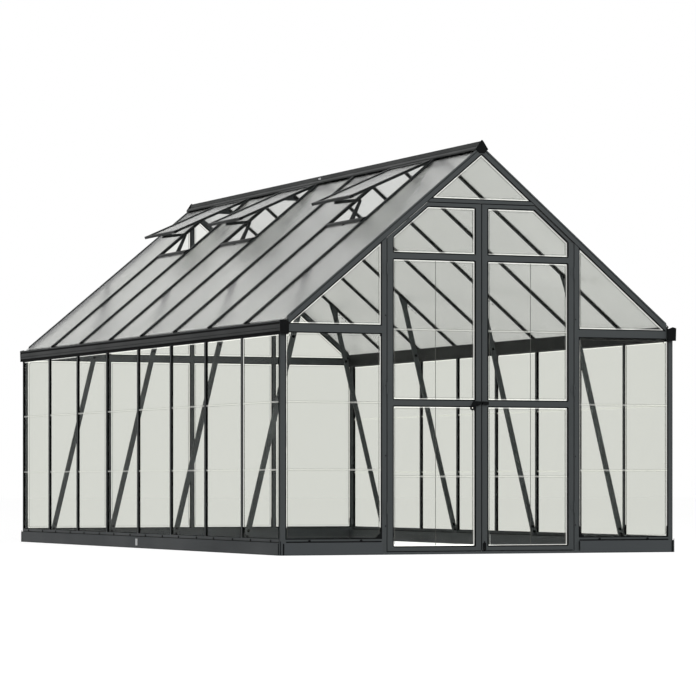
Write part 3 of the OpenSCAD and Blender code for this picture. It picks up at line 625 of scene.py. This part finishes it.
shade_grey_finish = lip_grey("shaded_strip_lip", "#4A4A48")
total = 0
for pane, outline in GABLE_PANES.items():
    pane_glow = pane_ring(pane, shrink(outline, 3.5), GLOW_WIDTH, GLOW_DEPTH)
    cut_off(pane_glow, (0, 0, SILL_TOP + FOOT), (0, 0, -1))
    if pane == "front_bay":
        cut_off(pane_glow, (0, 0, EAVE_BAR[0] - 16.0), (0, 0, 1))
    # Painted shade: a hair-thin grey ring inside each pane, in the shaded grey of the lips.
    shade_piece = pane_ring(pane, shrink(outline, SHADE_LINE_INSET), SHADE_LINE_WIDTH, SHADE_LINE_DEPTH)
    for kind, ring, finish in (("edge_trim", pane_glow, glowing_edge_finish), ("grey_shade_ring", shade_piece, shade_grey_finish)):
        total += set_out(ring, pane_places(kind, pane), *GLAZING, finish)

master = stock_box("edge_trim", (HALF_WIDTH - GLOW_DEPTH / 2, PANE_EDGE, SILL_TOP + SEAL),
                   (HALF_WIDTH + GLOW_DEPTH / 2, BAY - PANE_EDGE, GUTTER_BOTTOM - 4.0))
open_ring(master, (1, 0, 0), GLOW_WIDTH)
cut_off(master, (0, 0, SILL_TOP + FOOT), (0, 0, -1))
cut_off(master, (0, BAY - OPEN_END, 0), (0, 1, 0))
places = [(f"edge_trim_{side}_{number + 1}", (0, frame_y(number), 0), flip)
          for side, flip in SIDES for number in range(1, 7)]
places += [(f"edge_trim_{side}_{end}", (0, frame_y(7), 0), turn + flip)
           for side, flip in SIDES for end, turn in (("far", ""), ("near", "Y"))]
total += set_out(master, places, *GLAZING, glowing_edge_finish)
print("edge trims", total)

# %% [markdown]
# Each wall bay holds three sheets, one above the other. A clear strip with an H-shaped
# section joins them; its two lips grip the sheets, and show as two faint grey lines with a
# softened band between. The band is a grooved bar that glows a little, a painted highlight,
# and the lips are thin beads on its edges, painted in the shaded grey except on the right wall.

# %% Joining strips of the walls
glowing_clear_strip = painted_glow_extrusion("joining_strip_with_painted_glow", ("#D8D9D5", "#DCDDD9"), 90.0, (0.05, 0.05),
                            (0.97, 0.17))
STRIP_LEVELS = (473.0, 848.0)
STRIP_HALF = 3.8
STRIP_DEPTH = 3.5
LIP_LEVEL = 4.6


def joined(first, second):
    """Two pieces of stock made one."""
    bpy.ops.object.select_all(action="DESELECT")
    first.select_set(True)
    second.select_set(True)
    bpy.context.view_layer.objects.active = first
    bpy.ops.object.join()
    return first


def strip_masters(low, high, face, lip_height):
    """The band of a joining strip and its pair of lips, between two corners at height zero."""
    band = stock_box("strip_band", (*low, -STRIP_HALF), (*high, STRIP_HALF))
    break_edges(band, 0.6)
    sink_faces(band, face, 1.2, 0.4)
    grow = [1.0 if abs(v) > 0.5 else 0.0 for v in face]
    lips = None
    for level in (-LIP_LEVEL, LIP_LEVEL):
        lip = stock_box("shade_grey_finish", (low[0] - grow[0], low[1] - grow[1], level - lip_height / 2),
                        (high[0] + grow[0], high[1] + grow[1], level + lip_height / 2))
        break_edges(lip, lip_height / 5)
        lips = lip if lips is None else joined(lips, lip)
    return band, lips


band, lips = strip_masters((HALF_WIDTH - STRIP_DEPTH, PANE_EDGE),
                           (HALF_WIDTH + STRIP_DEPTH, BAY - PANE_EDGE), (1, 0, 0), 0.6)
places = [(f"{side}_{number + 1}_{int(level)}", (0, frame_y(number), level), flip)
          for side, flip in SIDES for number in range(8) for level in STRIP_LEVELS]
set_out(band, [("strip_band_" + n, m, f) for n, m, f in places], *GLAZING, glowing_clear_strip)
# Painted shade: the lips of the left wall, in view, take the shaded grey, and those of the right
# wall, seen through the glass, the glowing clear.
for side, finish in (("left", shade_grey_finish), ("right", glowing_clear_strip)):
    row = [("strip_lips_" + n, m, f) for n, m, f in places if n.startswith(side)]
    set_out(copy_of(lips, "lips"), row, *GLAZING, finish)
bpy.data.objects.remove(lips)
band, lips = strip_masters((JAMB[1] + 4.0, GABLE_Y - STRIP_DEPTH),
                           (CORNER_X - 4.0, GABLE_Y + STRIP_DEPTH), (0, -1, 0), 1.0)
places = [(f"front_{side}_{int(level)}", (0, 0, level), flip)
          for side, flip in SIDES for level in STRIP_LEVELS]
set_out(band, [("strip_band_" + n, m, f) for n, m, f in places], *GLAZING, glowing_clear_strip)
set_out(lips, [("strip_lips_" + n, m, f) for n, m, f in places], *GLAZING, shade_grey_finish)
print("joining strips done")

# %% [markdown]
# The door leaves carry their own seals. A soft lip runs round each leaf and closes the
# running gap: under the bottom rail, over the top rail, along the hinge side, and along the
# meeting edge of the right leaf. All of them ride on their leaf.

# %% Door seals
SEAL_Y = (-2329.0, -2316.0)
LIP = 4.4
TOP_SEAL_END = 331.0
HINGE_SEAL_TOP = 1764.0
leaf_seals = {
    "bottom": ((LEAF_X[0], LEAF_Z[0] - LIP), (LEAF_X[1], LEAF_Z[0])),
    "top": ((LEAF_X[0], LEAF_Z[1]), (TOP_SEAL_END, LEAF_Z[1] + LIP)),
    "hinge": ((LEAF_X[1], LEAF_Z[0]), (LEAF_X[1] + LIP, HINGE_SEAL_TOP))}
for edge, ((low_x, low_z), (high_x, high_z)) in leaf_seals.items():
    master = seal_or_shade_strip(edge, (low_x, SEAL_Y[0], low_z), (high_x, SEAL_Y[1], high_z),
                        (0, -1, 0), 0.8)
    on_leaves(master, "door_seal_" + edge, black_rubber_and_shade)
meeting = seal_or_shade_strip("door_seal_meeting", (-1.8, SEAL_Y[0], LEAF_Z[0]),
                     (LEAF_X[0], SEAL_Y[1], LEAF_Z[1]), (0, -1, 0), 0.8)
fasten(meeting, "right_leaf", black_rubber_and_shade)
print("door seals done")

# %% [markdown]
# The door panes have rounded corners, and their seals and bright edges follow them. Here the
# ring starts as a block, its corners are bevelled in edit mode to the pane's radius, and the
# upper pane is sawn off along the raked rail before the ring is opened.

# %% Rings in the door leaves
LEAF_MIDDLE = -2321.0
PANE_RADIUS = 6.0
RAKE_UNDER = -51.7
UPPER_TOP = 1949.87
RAKE_NORMAL = (math.sin(PITCH), 0.0, math.cos(PITCH))


def round_corners(piece, radius, rule):
    """Rounds those corner edges along Y whose place in millimetres satisfies a rule."""
    bpy.ops.object.mode_set(mode="EDIT")
    bpy.ops.mesh.select_mode(type="EDGE")
    bpy.ops.mesh.select_all(action="DESELECT")
    mesh = bmesh.from_edit_mesh(piece.data)
    for edge in mesh.edges:
        start, end = edge.verts[0].co / MM, edge.verts[1].co / MM
        along = abs(start.y - end.y) > 1.0 and abs(start.x - end.x) + abs(start.z - end.z) < 0.5
        if along and rule(start.x, start.z):
            edge.select_set(True)
    bmesh.update_edit_mesh(piece.data)
    bpy.ops.mesh.bevel(offset=radius * MM, segments=5, affect="EDGES")
    bpy.ops.object.mode_set(mode="OBJECT")


def door_ring(name, low_z, high_z, inset, width, depth, raked):
    """A ring that follows a door pane, moved in from its edge by an inset."""
    piece = stock_box(name, (PANE_X[0] + inset, LEAF_MIDDLE - depth / 2, low_z + inset),
                      (PANE_X[1] - inset, LEAF_MIDDLE + depth / 2, high_z - inset))
    rule = (lambda x, z: True)
    if raked:
        rise = RAKE_UNDER - inset
        cut_off(piece, (PANE_X[1], LEAF_MIDDLE, roof_z(PANE_X[1], rise)), RAKE_NORMAL)
        rule = (lambda x, z: z < low_z + 20.0 or x < PANE_X[0] + 20.0)
    round_corners(piece, max(PANE_RADIUS - inset, 1.5), rule)
    return open_ring(piece, (0, 1, 0), width)


BOTTOM_RAIL_TOP = 44.0
DOOR_PANES = {"low": (BOTTOM_RAIL_TOP, LOCK_RAIL[0], False),
              "mid": (LOCK_RAIL[1], UPPER_RAIL[0], False),
              "high": (UPPER_RAIL[1], UPPER_TOP, True)}
for pane, (low_z, high_z, raked) in DOOR_PANES.items():
    # In each door pane the grey ring is painted shade and the bright ring is a painted glow.
    rings = {"door_pane_seal": ((-3.5, 6.5, 23.0), "black_plastic", black_rubber_and_shade),
             "door_edge_glow_ring": ((3.0, GLOW_WIDTH, GLOW_DEPTH), "clear_glass", glowing_edge_finish),
             "door_grey_shade_ring": ((SHADE_LINE_INSET, SHADE_LINE_WIDTH, SHADE_LINE_DEPTH), "clear_glass", shade_grey_finish)}
    for kind, (sizes, slot, finish) in rings.items():
        ring = door_ring(kind, low_z, high_z, *sizes, raked)
        on_leaves(ring, f"{kind}_{pane}", finish)
for pane in ("low", "mid"):
    low_z, high_z = DOOR_PANES[pane][:2]
    band, lips = strip_masters((PANE_X[0] + 4.0, LEAF_MIDDLE - STRIP_DEPTH),
                               (PANE_X[1] - 4.0, LEAF_MIDDLE + STRIP_DEPTH), (0, -1, 0), 1.0)
    place = (0, 0, (low_z + high_z) / 2)
    on_leaves(band, "strip_band_" + pane, glowing_clear_strip, place)
    on_leaves(lips, "strip_lips_" + pane, shade_grey_finish, place)
print("door rings done")

# %% [markdown]
# The sheets in the two lower panes of each leaf meet near mid-width in a narrow upright
# joint, a faint line. It is a shallow bead on both faces of the sheet.

# %% Upright sheet joints
for body, x in (("left_leaf", -282.0), ("right_leaf", 312.0)):
    for pane in ("low", "mid"):
        low_z, high_z = DOOR_PANES[pane][:2]
        bead = stock_box(f"upright_bead_{pane}_{body}", (x - 0.5, LEAF_MIDDLE - 2.8, low_z + 4.0),
                         (x + 0.5, LEAF_MIDDLE + 2.8, high_z - 4.0))
        break_edges(bead, 0.25)
        fasten(bead, body, shade_grey_finish)
print("upright joints done")

# %% [markdown]
# The gutter is rolled with a groove below its lip and a foot that is set back. Both lie in
# shadow, and that shadow is painted on as black strips in the groove and on the foot; a thin
# black strip lower on the face is painted shade in a crease. They turn the plain rail into the
# lip, band and dark lines that one sees along the eaves.

# %% Painted shadow in the gutter groove, on its foot and in its crease
gutter_lines = {"gutter_groove_shade": (OUTER_X - 3.0, OUTER_X - 0.6, GUTTER_TOP - 19.5, GUTTER_TOP - 9.5),
                "gutter_foot_shade": (OUTER_X - 10.0, OUTER_X - 5.0, GUTTER_BOTTOM + 1.0,
                                GUTTER_BOTTOM + 15.5)}
for line, (low_x, high_x, low_z, high_z) in gutter_lines.items():
    master = seal_or_shade_strip(line, (low_x, -OUTER_Y, low_z), (high_x, OUTER_Y, high_z), (1, 0, 0), 1.5)
    set_out(master, both_sides(line), *RUBBER_AND_SHADE)
crease = stock_box("gutter_crease_shade", (OUTER_X - 1.0, -OUTER_Y, GUTTER_TOP - 44.0),
                   (OUTER_X + 0.3, OUTER_Y, GUTTER_TOP - 41.5))
sink_faces(crease, (1, 0, 0), 0.8, 0.3)
set_out(crease, both_sides("gutter_crease_shade"), *RUBBER_AND_SHADE)
print("gutter lines", list(gutter_lines))

# %% [markdown]
# Pan-head screws, six-sided bolts and rivets hold the frame together. Each is modelled once,
# with its washer, and turned to the face that it sits on. The head is a short round bar with
# a drawn-in top, which is enough at this size.

# %% Screw and bolt masters
def head(name, centre, radius, height, axis, sign, sides, washer=0.0):
    """A head on a face: a short bar whose outer end is drawn in, with an optional washer."""
    letter = "XYZ".index(axis)
    middle = list(centre)
    middle[letter] += sign * height / 2
    piece = stock_rod(name, middle, radius, height, axis, sides)
    aim = [0.0, 0.0, 0.0]
    aim[letter] = float(sign)
    sink_faces(piece, aim, radius * 0.3, -height * 0.35)
    if washer > 0.0:
        middle[letter] = centre[letter] + sign * 0.5
        ring = stock_rod(name + "_washer", middle, washer, 1.0, axis, 16)
        sink_faces(ring, aim, 0.6, -0.3)
        piece = joined(piece, ring)
    return piece


print("heads ready")

# %% [markdown]
# The sill is screwed to the folded steel base from outside, just above the black strip of
# painted shadow along the joint. The screws sit in pairs on either side of every frame, and all
# of them are black. On the gables the same painted shadow strip runs from the corner to the jamb.

# %% Sill screws and the painted shadow strip of the gables
SCREW_Z = 79.0
SCREW_STEP = 140.0
SCREW_HEAD = (7.5, 2.4)
SCREW_X = {"front": (1056.0, 745.0), "back": (1056.0, 745.0, 470.0, 140.0)}
SILL_X = HALF_WIDTH + 7.6
SILL_Y = -HALF_LENGTH - 7.6
for end, turn, start in (("front", "", JAMB[1] + 4.0), ("back", "Y", 0.0)):
    shade_piece = seal_or_shade_strip("sill_shadow_strip", (start, SILL_Y, BASE_TOP + 0.2),
                      (CORNER_X - 2.0, SILL_Y + 15.2, BASE_TOP + 7.0), (0, -1, 0))
    set_out(shade_piece, both_sides("sill_shadow_strip_" + end, turn), *RUBBER_AND_SHADE)
side_screw = head("side_screw", (SILL_X - 0.6, 0.0, SCREW_Z), *SCREW_HEAD, "X", 1, 12)
places = [(f"sill_screw_{side}_{number}{letter}", (0, frame_y(number) + step, 0), flip)
          for side, flip in SIDES for number in range(1, 8)
          for letter, step in (("a", -SCREW_STEP), ("b", SCREW_STEP))]
places += [(f"sill_screw_{side}_{letter}", (0, step * (HALF_LENGTH - SCREW_STEP), 0), flip)
           for side, flip in SIDES for letter, step in (("near", -1.0), ("far", 1.0))]
total = set_out(side_screw, places, *NYLON)
end_screw = head("end_screw", (0.0, SILL_Y + 0.6, SCREW_Z), *SCREW_HEAD, "Y", -1, 12)
places = [(f"sill_screw_{end}_{side}_{int(x)}", (x, 0, 0), ("Y" if end == "back" else "") + flip)
          for end, row in SCREW_X.items() for x in row for side, flip in SIDES]
total += set_out(end_screw, places, *NYLON)
print("sill screws", total)

# %% [markdown]
# Two lengths of base rail meet at the middle of each side, under a bright plate of
# galvanised steel with two screws. The zinc crystals give it a pale mottled grey.

# %% Galvanised splice plates
def galvanised(name, hex_code, hex_crystal):
    """Hot-dip zinc: flat crystals a few millimetres across, each with its own grey."""
    material, tree = new_material(name)
    crystal = add_node(tree, "ShaderNodeTexVoronoi", {},
                       {"Vector": piece_space(tree), "Scale": 220.0})
    shade = blend(tree, crystal.outputs["Color"], hex_code, hex_crystal)
    return surface(material, tree, {
        "Base Color": shade, "Roughness": 0.42, "Metallic": 0.35})


zinc = galvanised("hot_dip_galvanised_steel", "#B9BBBC", "#DADCDD")
plate = stock_box("splice_plate", (OUTER_X, -18.0, 16.0), (OUTER_X + 1.4, 18.0, 58.0))
sink_faces(plate, (1, 0, 0), 1.2, -0.3)
for level in (26.0, 48.0):
    plate = joined(plate, head("splice_screw", (OUTER_X + 1.2, 9.0, level), 3.2, 0.5, "X", 1, 10))
total = set_out(plate, both_sides("splice_plate"), "house", "base_steel", zinc)
sleeve = stock_box("splice_sleeve", (1172.5, -4.0, 4.0), (1175.5, 4.0, 68.0))
break_edges(sleeve, 0.6)
total += set_out(sleeve, both_sides("splice_sleeve"), "house", "base_steel", zinc)
ridge_plate = stock_box("ridge_splice", (11.0, -14.0, 2306.0), (17.5, 14.0, 2318.0))
break_edges(ridge_plate, 1.0)
total += set_out(ridge_plate, both_sides("ridge_splice"), "house", "frame_paint", zinc)
print("splice pieces", total)

# %% [markdown]
# A moulded cover closes each corner of the base. Its two upright edges sit in the grooves of
# the corner, and a bead runs up the middle of the round.

# %% Corner covers
GROOVE = 21.5
COVER = (0.5, 66.0)
cover_edges = {
    "cover_edge_front": ((OUTER_X - GROOVE - 3.6, -OUTER_Y - 4.0),
                         (OUTER_X - GROOVE + 3.6, -OUTER_Y + 1.6), (0, -1, 0)),
    "cover_edge_side": ((OUTER_X - 1.6, -OUTER_Y + GROOVE - 3.6),
                        (OUTER_X + 1.8, -OUTER_Y + GROOVE + 3.6), (1, 0, 0))}
total = 0
for edge, (low, high, face) in cover_edges.items():
    cover = stock_box(edge, (*low, COVER[0]), (*high, COVER[1]))
    break_edges(cover, 0.8)
    sink_faces(cover, face, 0.8, 0.4)
    total += set_out(cover, four_corners(edge), *RUBBER_AND_SHADE)
bead = head("cover_bead", (OUTER_X - 6.6, -OUTER_Y + 6.6, COVER[0]), 2.4, 58.0, "Z", 1, 12)
total += set_out(bead, four_corners("cover_bead"), *RUBBER_AND_SHADE)
print("corner covers", total)

# %% [markdown]
# A thin black strip runs under the outer edge of the base. It is painted shadow: the dark
# line along the ground where the base stands.

# %% Painted shadow line at the ground
CORNER = 26.0
ground = seal_or_shade_strip("ground_shadow_line", (OUTER_X - 2.0, -OUTER_Y + CORNER, 0.2),
                    (OUTER_X + 0.3, OUTER_Y - CORNER, 6.0), (1, 0, 0), 0.8)
total = set_out(ground, both_sides("ground_shadow_line"), *RUBBER_AND_SHADE)
for end, turn, start in (("front", "", JAMB[1] + 2.0), ("back", "Y", 0.0)):
    ground = seal_or_shade_strip("ground_shadow_line", (start, -OUTER_Y - 0.3, 0.2),
                        (OUTER_X - CORNER, -OUTER_Y + 2.0, 6.0), (0, -1, 0), 0.8)
    total += set_out(ground, both_sides("ground_shadow_line_" + end, turn), *RUBBER_AND_SHADE)
print("ground seals", total)

# %% [markdown]
# Blocks on the roof are built flat and then tilted to the slope about the ridge line. They
# are placed by their distance from the ridge in plan and by their rise square to the slope.

# %% Ridge lines and plugs of the roof bars
def tilted_box(name, low, high, tilt, hinge):
    """A block built flat, then tilted about a line along Y at X and Z of the hinge."""
    piece = stock_box(name, low, high)
    piece.rotation_euler = (0.0, tilt, 0.0)
    piece.location = (hinge[0] * MM, 0.0, hinge[1] * MM)
    bpy.ops.object.transform_apply(location=True, rotation=True, scale=True)
    return piece


def slope_box(name, start, end, low_y, high_y, low, high):
    """A block lying on the right-hand slope."""
    run = math.cos(PITCH)
    return tilted_box(name, (start / run, low_y, low), (end / run, high_y, high), PITCH,
                      (0.0, RIDGE_LINE))


plug = slope_box("bar_plug", 1188.0, 1203.0, -11.6, 11.6, 5.0, 14.6)
break_edges(plug, 0.8)
places = [(f"bar_plug_{side}_{number}", (0, frame_y(number), 0), flip)
          for side, flip in SIDES for number in range(1, 8)]
total = set_out(plug, places, *NYLON)
RIDGE_TOP = RIDGE_LINE + 37.0
ridge_lines = {"ridge_crest_line": (5.0, 6.8, RIDGE_TOP - 5.0, RIDGE_TOP - 1.0),
               "ridge_foot_line": (12.6, 14.6, RIDGE_TOP - 28.0, RIDGE_TOP - 24.5)}
for line, (low_x, high_x, low_z, high_z) in ridge_lines.items():
    strip = seal_or_shade_strip(line, (low_x, -HALF_LENGTH, low_z), (high_x, HALF_LENGTH, high_z),
                       (1, 0, 0), 0.5)
    total += set_out(strip, both_sides(line), *RUBBER_AND_SHADE)
print("ridge lines and bar plugs", total)

# %% [markdown]
# A dark seal shows along the top and along the foot of each rafter of the gables, and a small
# dark plate fills the low corner of the gable beside each jamb, in front of the sheet.

# %% Seals of the rafters and corner plates
rake_lines = {"rake_top_line": (-1.6, 1.6), "rake_foot_line": (-28.6, -25.4)}
total = 0
for line, (low, high) in rake_lines.items():
    strip = slope_box(line, 24.0, 1165.0, -HALF_LENGTH - 0.6, -HALF_LENGTH + 1.4, low, high)
    sink_faces(strip, (0, -1, 0), 0.5, 0.3)
    total += set_out(strip, four_corners(line), *RUBBER_AND_SHADE)
PLATE = 40.0
plate = stock_box("corner_plate", (JAMB[1], -HALF_LENGTH + 1.0, SILL_TOP),
                  (JAMB[1] + PLATE, -HALF_LENGTH + 3.8, SILL_TOP + PLATE))
cut_off(plate, (JAMB[1] + PLATE, 0.0, SILL_TOP), (math.sqrt(0.5), 0.0, math.sqrt(0.5)))
break_edges(plate, 0.5)
total += set_out(plate, both_sides("corner_plate"), *NYLON)
print("rafter seals and corner plates", total)

# %% [markdown]
# Each knee brace is bolted at its foot to the base and at its head to the roof bar, and each
# gusset under the ridge is riveted to the pair of roof bars. The heads show on the side that
# faces the doors.

# %% Bolts and rivets of the frame
BRACE_FRAMES = (1, 3, 5, 7)
GUSSET_FRAMES = (1, 3, 4, 5, 7)
LEAN = math.tan(math.radians(13.9))
BRACE_X = 1200.0
BOLT_Z = (98.0, 128.0, 1235.0)
HEAD_RIVET_X = (862.0, 886.0, 910.0)
GUSSET_RIVET_X = (36.0, 64.0)
JAMB_SCREW_Z = (160.0, 552.0, 943.0, 1335.0)


def brace_x(z):
    """Middle of a knee brace at a height."""
    return BRACE_X - (z - BASE_TOP) * LEAN


bolt = head("brace_bolt", (0.0, -7.5, 0.0), 6.0, 4.0, "Y", -1, 6, 8.5)
places = [(f"brace_bolt_{side}_{number}_{int(z)}", (brace_x(z), frame_y(number), z), flip)
          for side, flip in SIDES for number in BRACE_FRAMES for z in BOLT_Z]
total = set_out(bolt, places, *NYLON)
rivet = head("head_rivet", (0.0, -2.5, 0.0), 4.0, 2.0, "Y", -1, 10)
places = [(f"head_rivet_{side}_{number}_{int(x)}", (x, frame_y(number), roof_z(x, -18.0)), flip)
          for side, flip in SIDES for number in BRACE_FRAMES for x in HEAD_RIVET_X]
total += set_out(rivet, places, *NYLON)
rivet = head("gusset_rivet", (0.0, -2.0, 0.0), 4.0, 2.0, "Y", -1, 10)
places = [(f"gusset_rivet_{side}_{number}_{int(x)}", (x, frame_y(number), roof_z(x, -9.0)), flip)
          for side, flip in SIDES for number in GUSSET_FRAMES for x in GUSSET_RIVET_X]
total += set_out(rivet, places, *NYLON)
jamb_screw = head("jamb_screw", (594.0, -HALF_LENGTH, 0.0), 3.6, 1.6, "Y", -1, 10)
places = [(f"jamb_screw_{side}_{int(z)}", (0, 0, z), flip)
          for side, flip in SIDES for z in JAMB_SCREW_Z]
total += set_out(jamb_screw, places, *NYLON)
print("bolts and rivets", total)

# %% [markdown]
# The open vents have small moulded parts: plugs on the lower corners of the sash, a peg that
# hangs from the sill where the stay is pinned, and a clip that holds the near end of the
# sill to the roof bar. The plugs are tilted with the sash, about its hinge line.

# %% Vent fittings
VENT_BAYS = (1, 4, 6)
SASH_TILT = math.radians(24.0)
SASH_HINGE = (44.81, 2277.92)
vent_middles = {bay: frame_y(bay) + BAY / 2 for bay in VENT_BAYS}
total = 0
for end, turn in ENDS:
    plug = tilted_box("sash_plug", (541.0, -290.4, -16.6), (562.0, -279.0, 0.6), SASH_TILT,
                      SASH_HINGE)
    break_edges(plug, 1.0)
    places = [(f"sash_plug_{end}_{bay}", (0, -y if turn else y, 0), turn + "X")
              for bay, y in vent_middles.items()]
    total += set_out(plug, places, *NYLON)
peg = slope_box("vent_peg", 467.0, 479.0, -5.0, 5.0, 2.0, 9.0)
break_edges(peg, 1.5)
places = [(f"vent_peg_{bay}", (0, y, 0), "X") for bay, y in vent_middles.items()]
total += set_out(peg, places, *NYLON)
clip = slope_box("sill_clip", 452.0, 484.0, -303.0, -278.0, 13.0, 19.0)
break_edges(clip, 1.5)
sink_faces(clip, (math.sin(PITCH), 0.0, math.cos(PITCH)), 3.0, -2.0)
places = [(f"sill_clip_{bay}", (0, y, 0), "X") for bay, y in vent_middles.items()]
total += set_out(clip, places, *NYLON)
print("vent fittings", total)

# %% [markdown]
# The turn latch ends in an eye for a padlock and a short prong below it. A drop bolt at the
# foot of the right leaf locks it to the threshold. The eye is a flat ring, opened as the
# seals were, and the bolt is a housing with a rod in it.

# %% Latch eye, prong and drop bolt
eye = stock_rod("padlock_eye", (-62.0, -2340.8, 822.5), 13.5, 7.0, "Y", 20)
open_ring(eye, (0, 1, 0), 8.8)
prong = stock_box("latch_prong", (-51.5, -2343.0, 804.0), (-43.0, -2338.5, 832.0))
break_edges(prong, 1.2)
sink_faces(prong, (0, -1, 0), 1.0, 0.6)
hub = head("latch_hub", (-31.5, -2344.3, 848.0), 6.5, 3.0, "Y", -1, 24)
for piece in (eye, prong, hub):
    fasten(piece, "latch", black_nylon)
housing = stock_box("bolt_housing", (8.0, -2339.0, 21.0), (26.0, -2332.0, 62.0))
break_edges(housing, 1.2)
sink_faces(housing, (0, -1, 0), 3.0, 1.0)
rod = stock_rod("bolt_rod", (17.0, -2336.0, 44.0), 3.2, 52.0, "Z", 14)
sink_faces(rod, (0, 0, 1), 1.0, -1.0)
fasten(joined(housing, rod), "right_leaf", black_nylon)
print("latch and bolt fitted")

# %% [markdown]
# The studio is a white floor that runs on to a white world. Rays that come from the camera
# or through glass see plain white, so the background stays clean, while the floor is also a
# little diffuse and keeps the soft shadow of the greenhouse.

# %% Floor


def sight(tree):
    """1 for rays from the camera, through glass or off a gloss, 0 for the rest."""
    path = add_node(tree, "ShaderNodeLightPath").outputs
    seen = compute(tree, "MAXIMUM", path["Is Camera Ray"], path["Is Transmission Ray"])
    return compute(tree, "MAXIMUM", seen, path["Is Glossy Ray"])


def stage_white(name, strength_outside, strength_inside):
    """White for rays of sight, with a share of ordinary diffuse."""
    material, tree = new_material(name)
    split = add_node(tree, "ShaderNodeSeparateXYZ", {}, {0: piece_space(tree)})
    near = []
    for axis, half in (("X", 1.2), ("Y", 2.3)):
        size = compute(tree, "ABSOLUTE", split.outputs[axis])
        near.append(compute(tree, "LESS_THAN", size, half))
    inside = compute(tree, "MULTIPLY", *near)
    glow = remap(tree, inside, (0.0, 1.0), (strength_outside, strength_inside))
    white = add_node(tree, "ShaderNodeEmission", {}, {"Color": (1, 1, 1, 1), "Strength": glow})
    soft = add_node(tree, "ShaderNodeBsdfDiffuse", {}, {"Color": linear("#8A8A8A")})
    lit = add_node(tree, "ShaderNodeAddShader", {}, {0: white.outputs[0], 1: soft.outputs[0]})
    plain = add_node(tree, "ShaderNodeBsdfDiffuse", {}, {"Color": linear("#7C7C7C")})
    mix = add_node(tree, "ShaderNodeMixShader", {},
                   {0: sight(tree), 1: plain.outputs[0], 2: lit.outputs[0]})
    finish_material(tree, mix)
    return material


FLOOR_SIZE = 120.0
bpy.ops.object.select_all(action="DESELECT")
bpy.ops.mesh.primitive_plane_add(size=FLOOR_SIZE, location=(0.0, 0.0, 0.0))
floor = bpy.context.object
floor.name = "studio_floor"
floor.data.materials.append(stage_white("white_studio_floor", 0.89, 1.35))
print("floor", tuple(round(v, 1) for v in floor.dimensions))

# %% [markdown]
# The world gives full white to rays of sight and a good third of it to all other rays.

# %% World
world = bpy.data.worlds.new("white_studio")
bpy.context.scene.world = world
world.use_nodes = True
world_tree = world.node_tree
world_tree.nodes.clear()
power = remap(world_tree, sight(world_tree), (0.0, 1.0), (0.38, 1.0))
sky = add_node(world_tree, "ShaderNodeBackground", {}, {"Color": (1, 1, 1, 1), "Strength": power})
add_node(world_tree, "ShaderNodeOutputWorld", {}, {"Surface": sky.outputs[0]})
print("world ready")

# %% [markdown]
# Two big soft lamps: a key high on the left of the door gable and a weaker fill on the
# right, so that the gable and the long side differ a little in tone, as in the photograph.

# %% Lamps


def soft_lamp(name, place, target, watts):
    """A square area lamp aimed at a point."""
    data = bpy.data.lights.new(name, "AREA")
    data.shape = "SQUARE"
    data.size = 7.0
    data.energy = watts
    lamp = bpy.data.objects.new(name, data)
    bpy.context.scene.collection.objects.link(lamp)
    lamp.location = place
    aim = Vector(target) - Vector(place)
    lamp.rotation_euler = aim.to_track_quat("-Z", "Y").to_euler()


soft_lamp("key_lamp", (-2.5, -15.0, 8.0), (0.0, 0.0, 1.0), 1120.0)
soft_lamp("fill_lamp", (9.0, -12.0, 6.0), (0.0, -1.0, 1.0), 120.0)

# %% [markdown]
# The view transform leaves white as white.

# %% View settings
bpy.context.scene.view_settings.view_transform = "Standard"
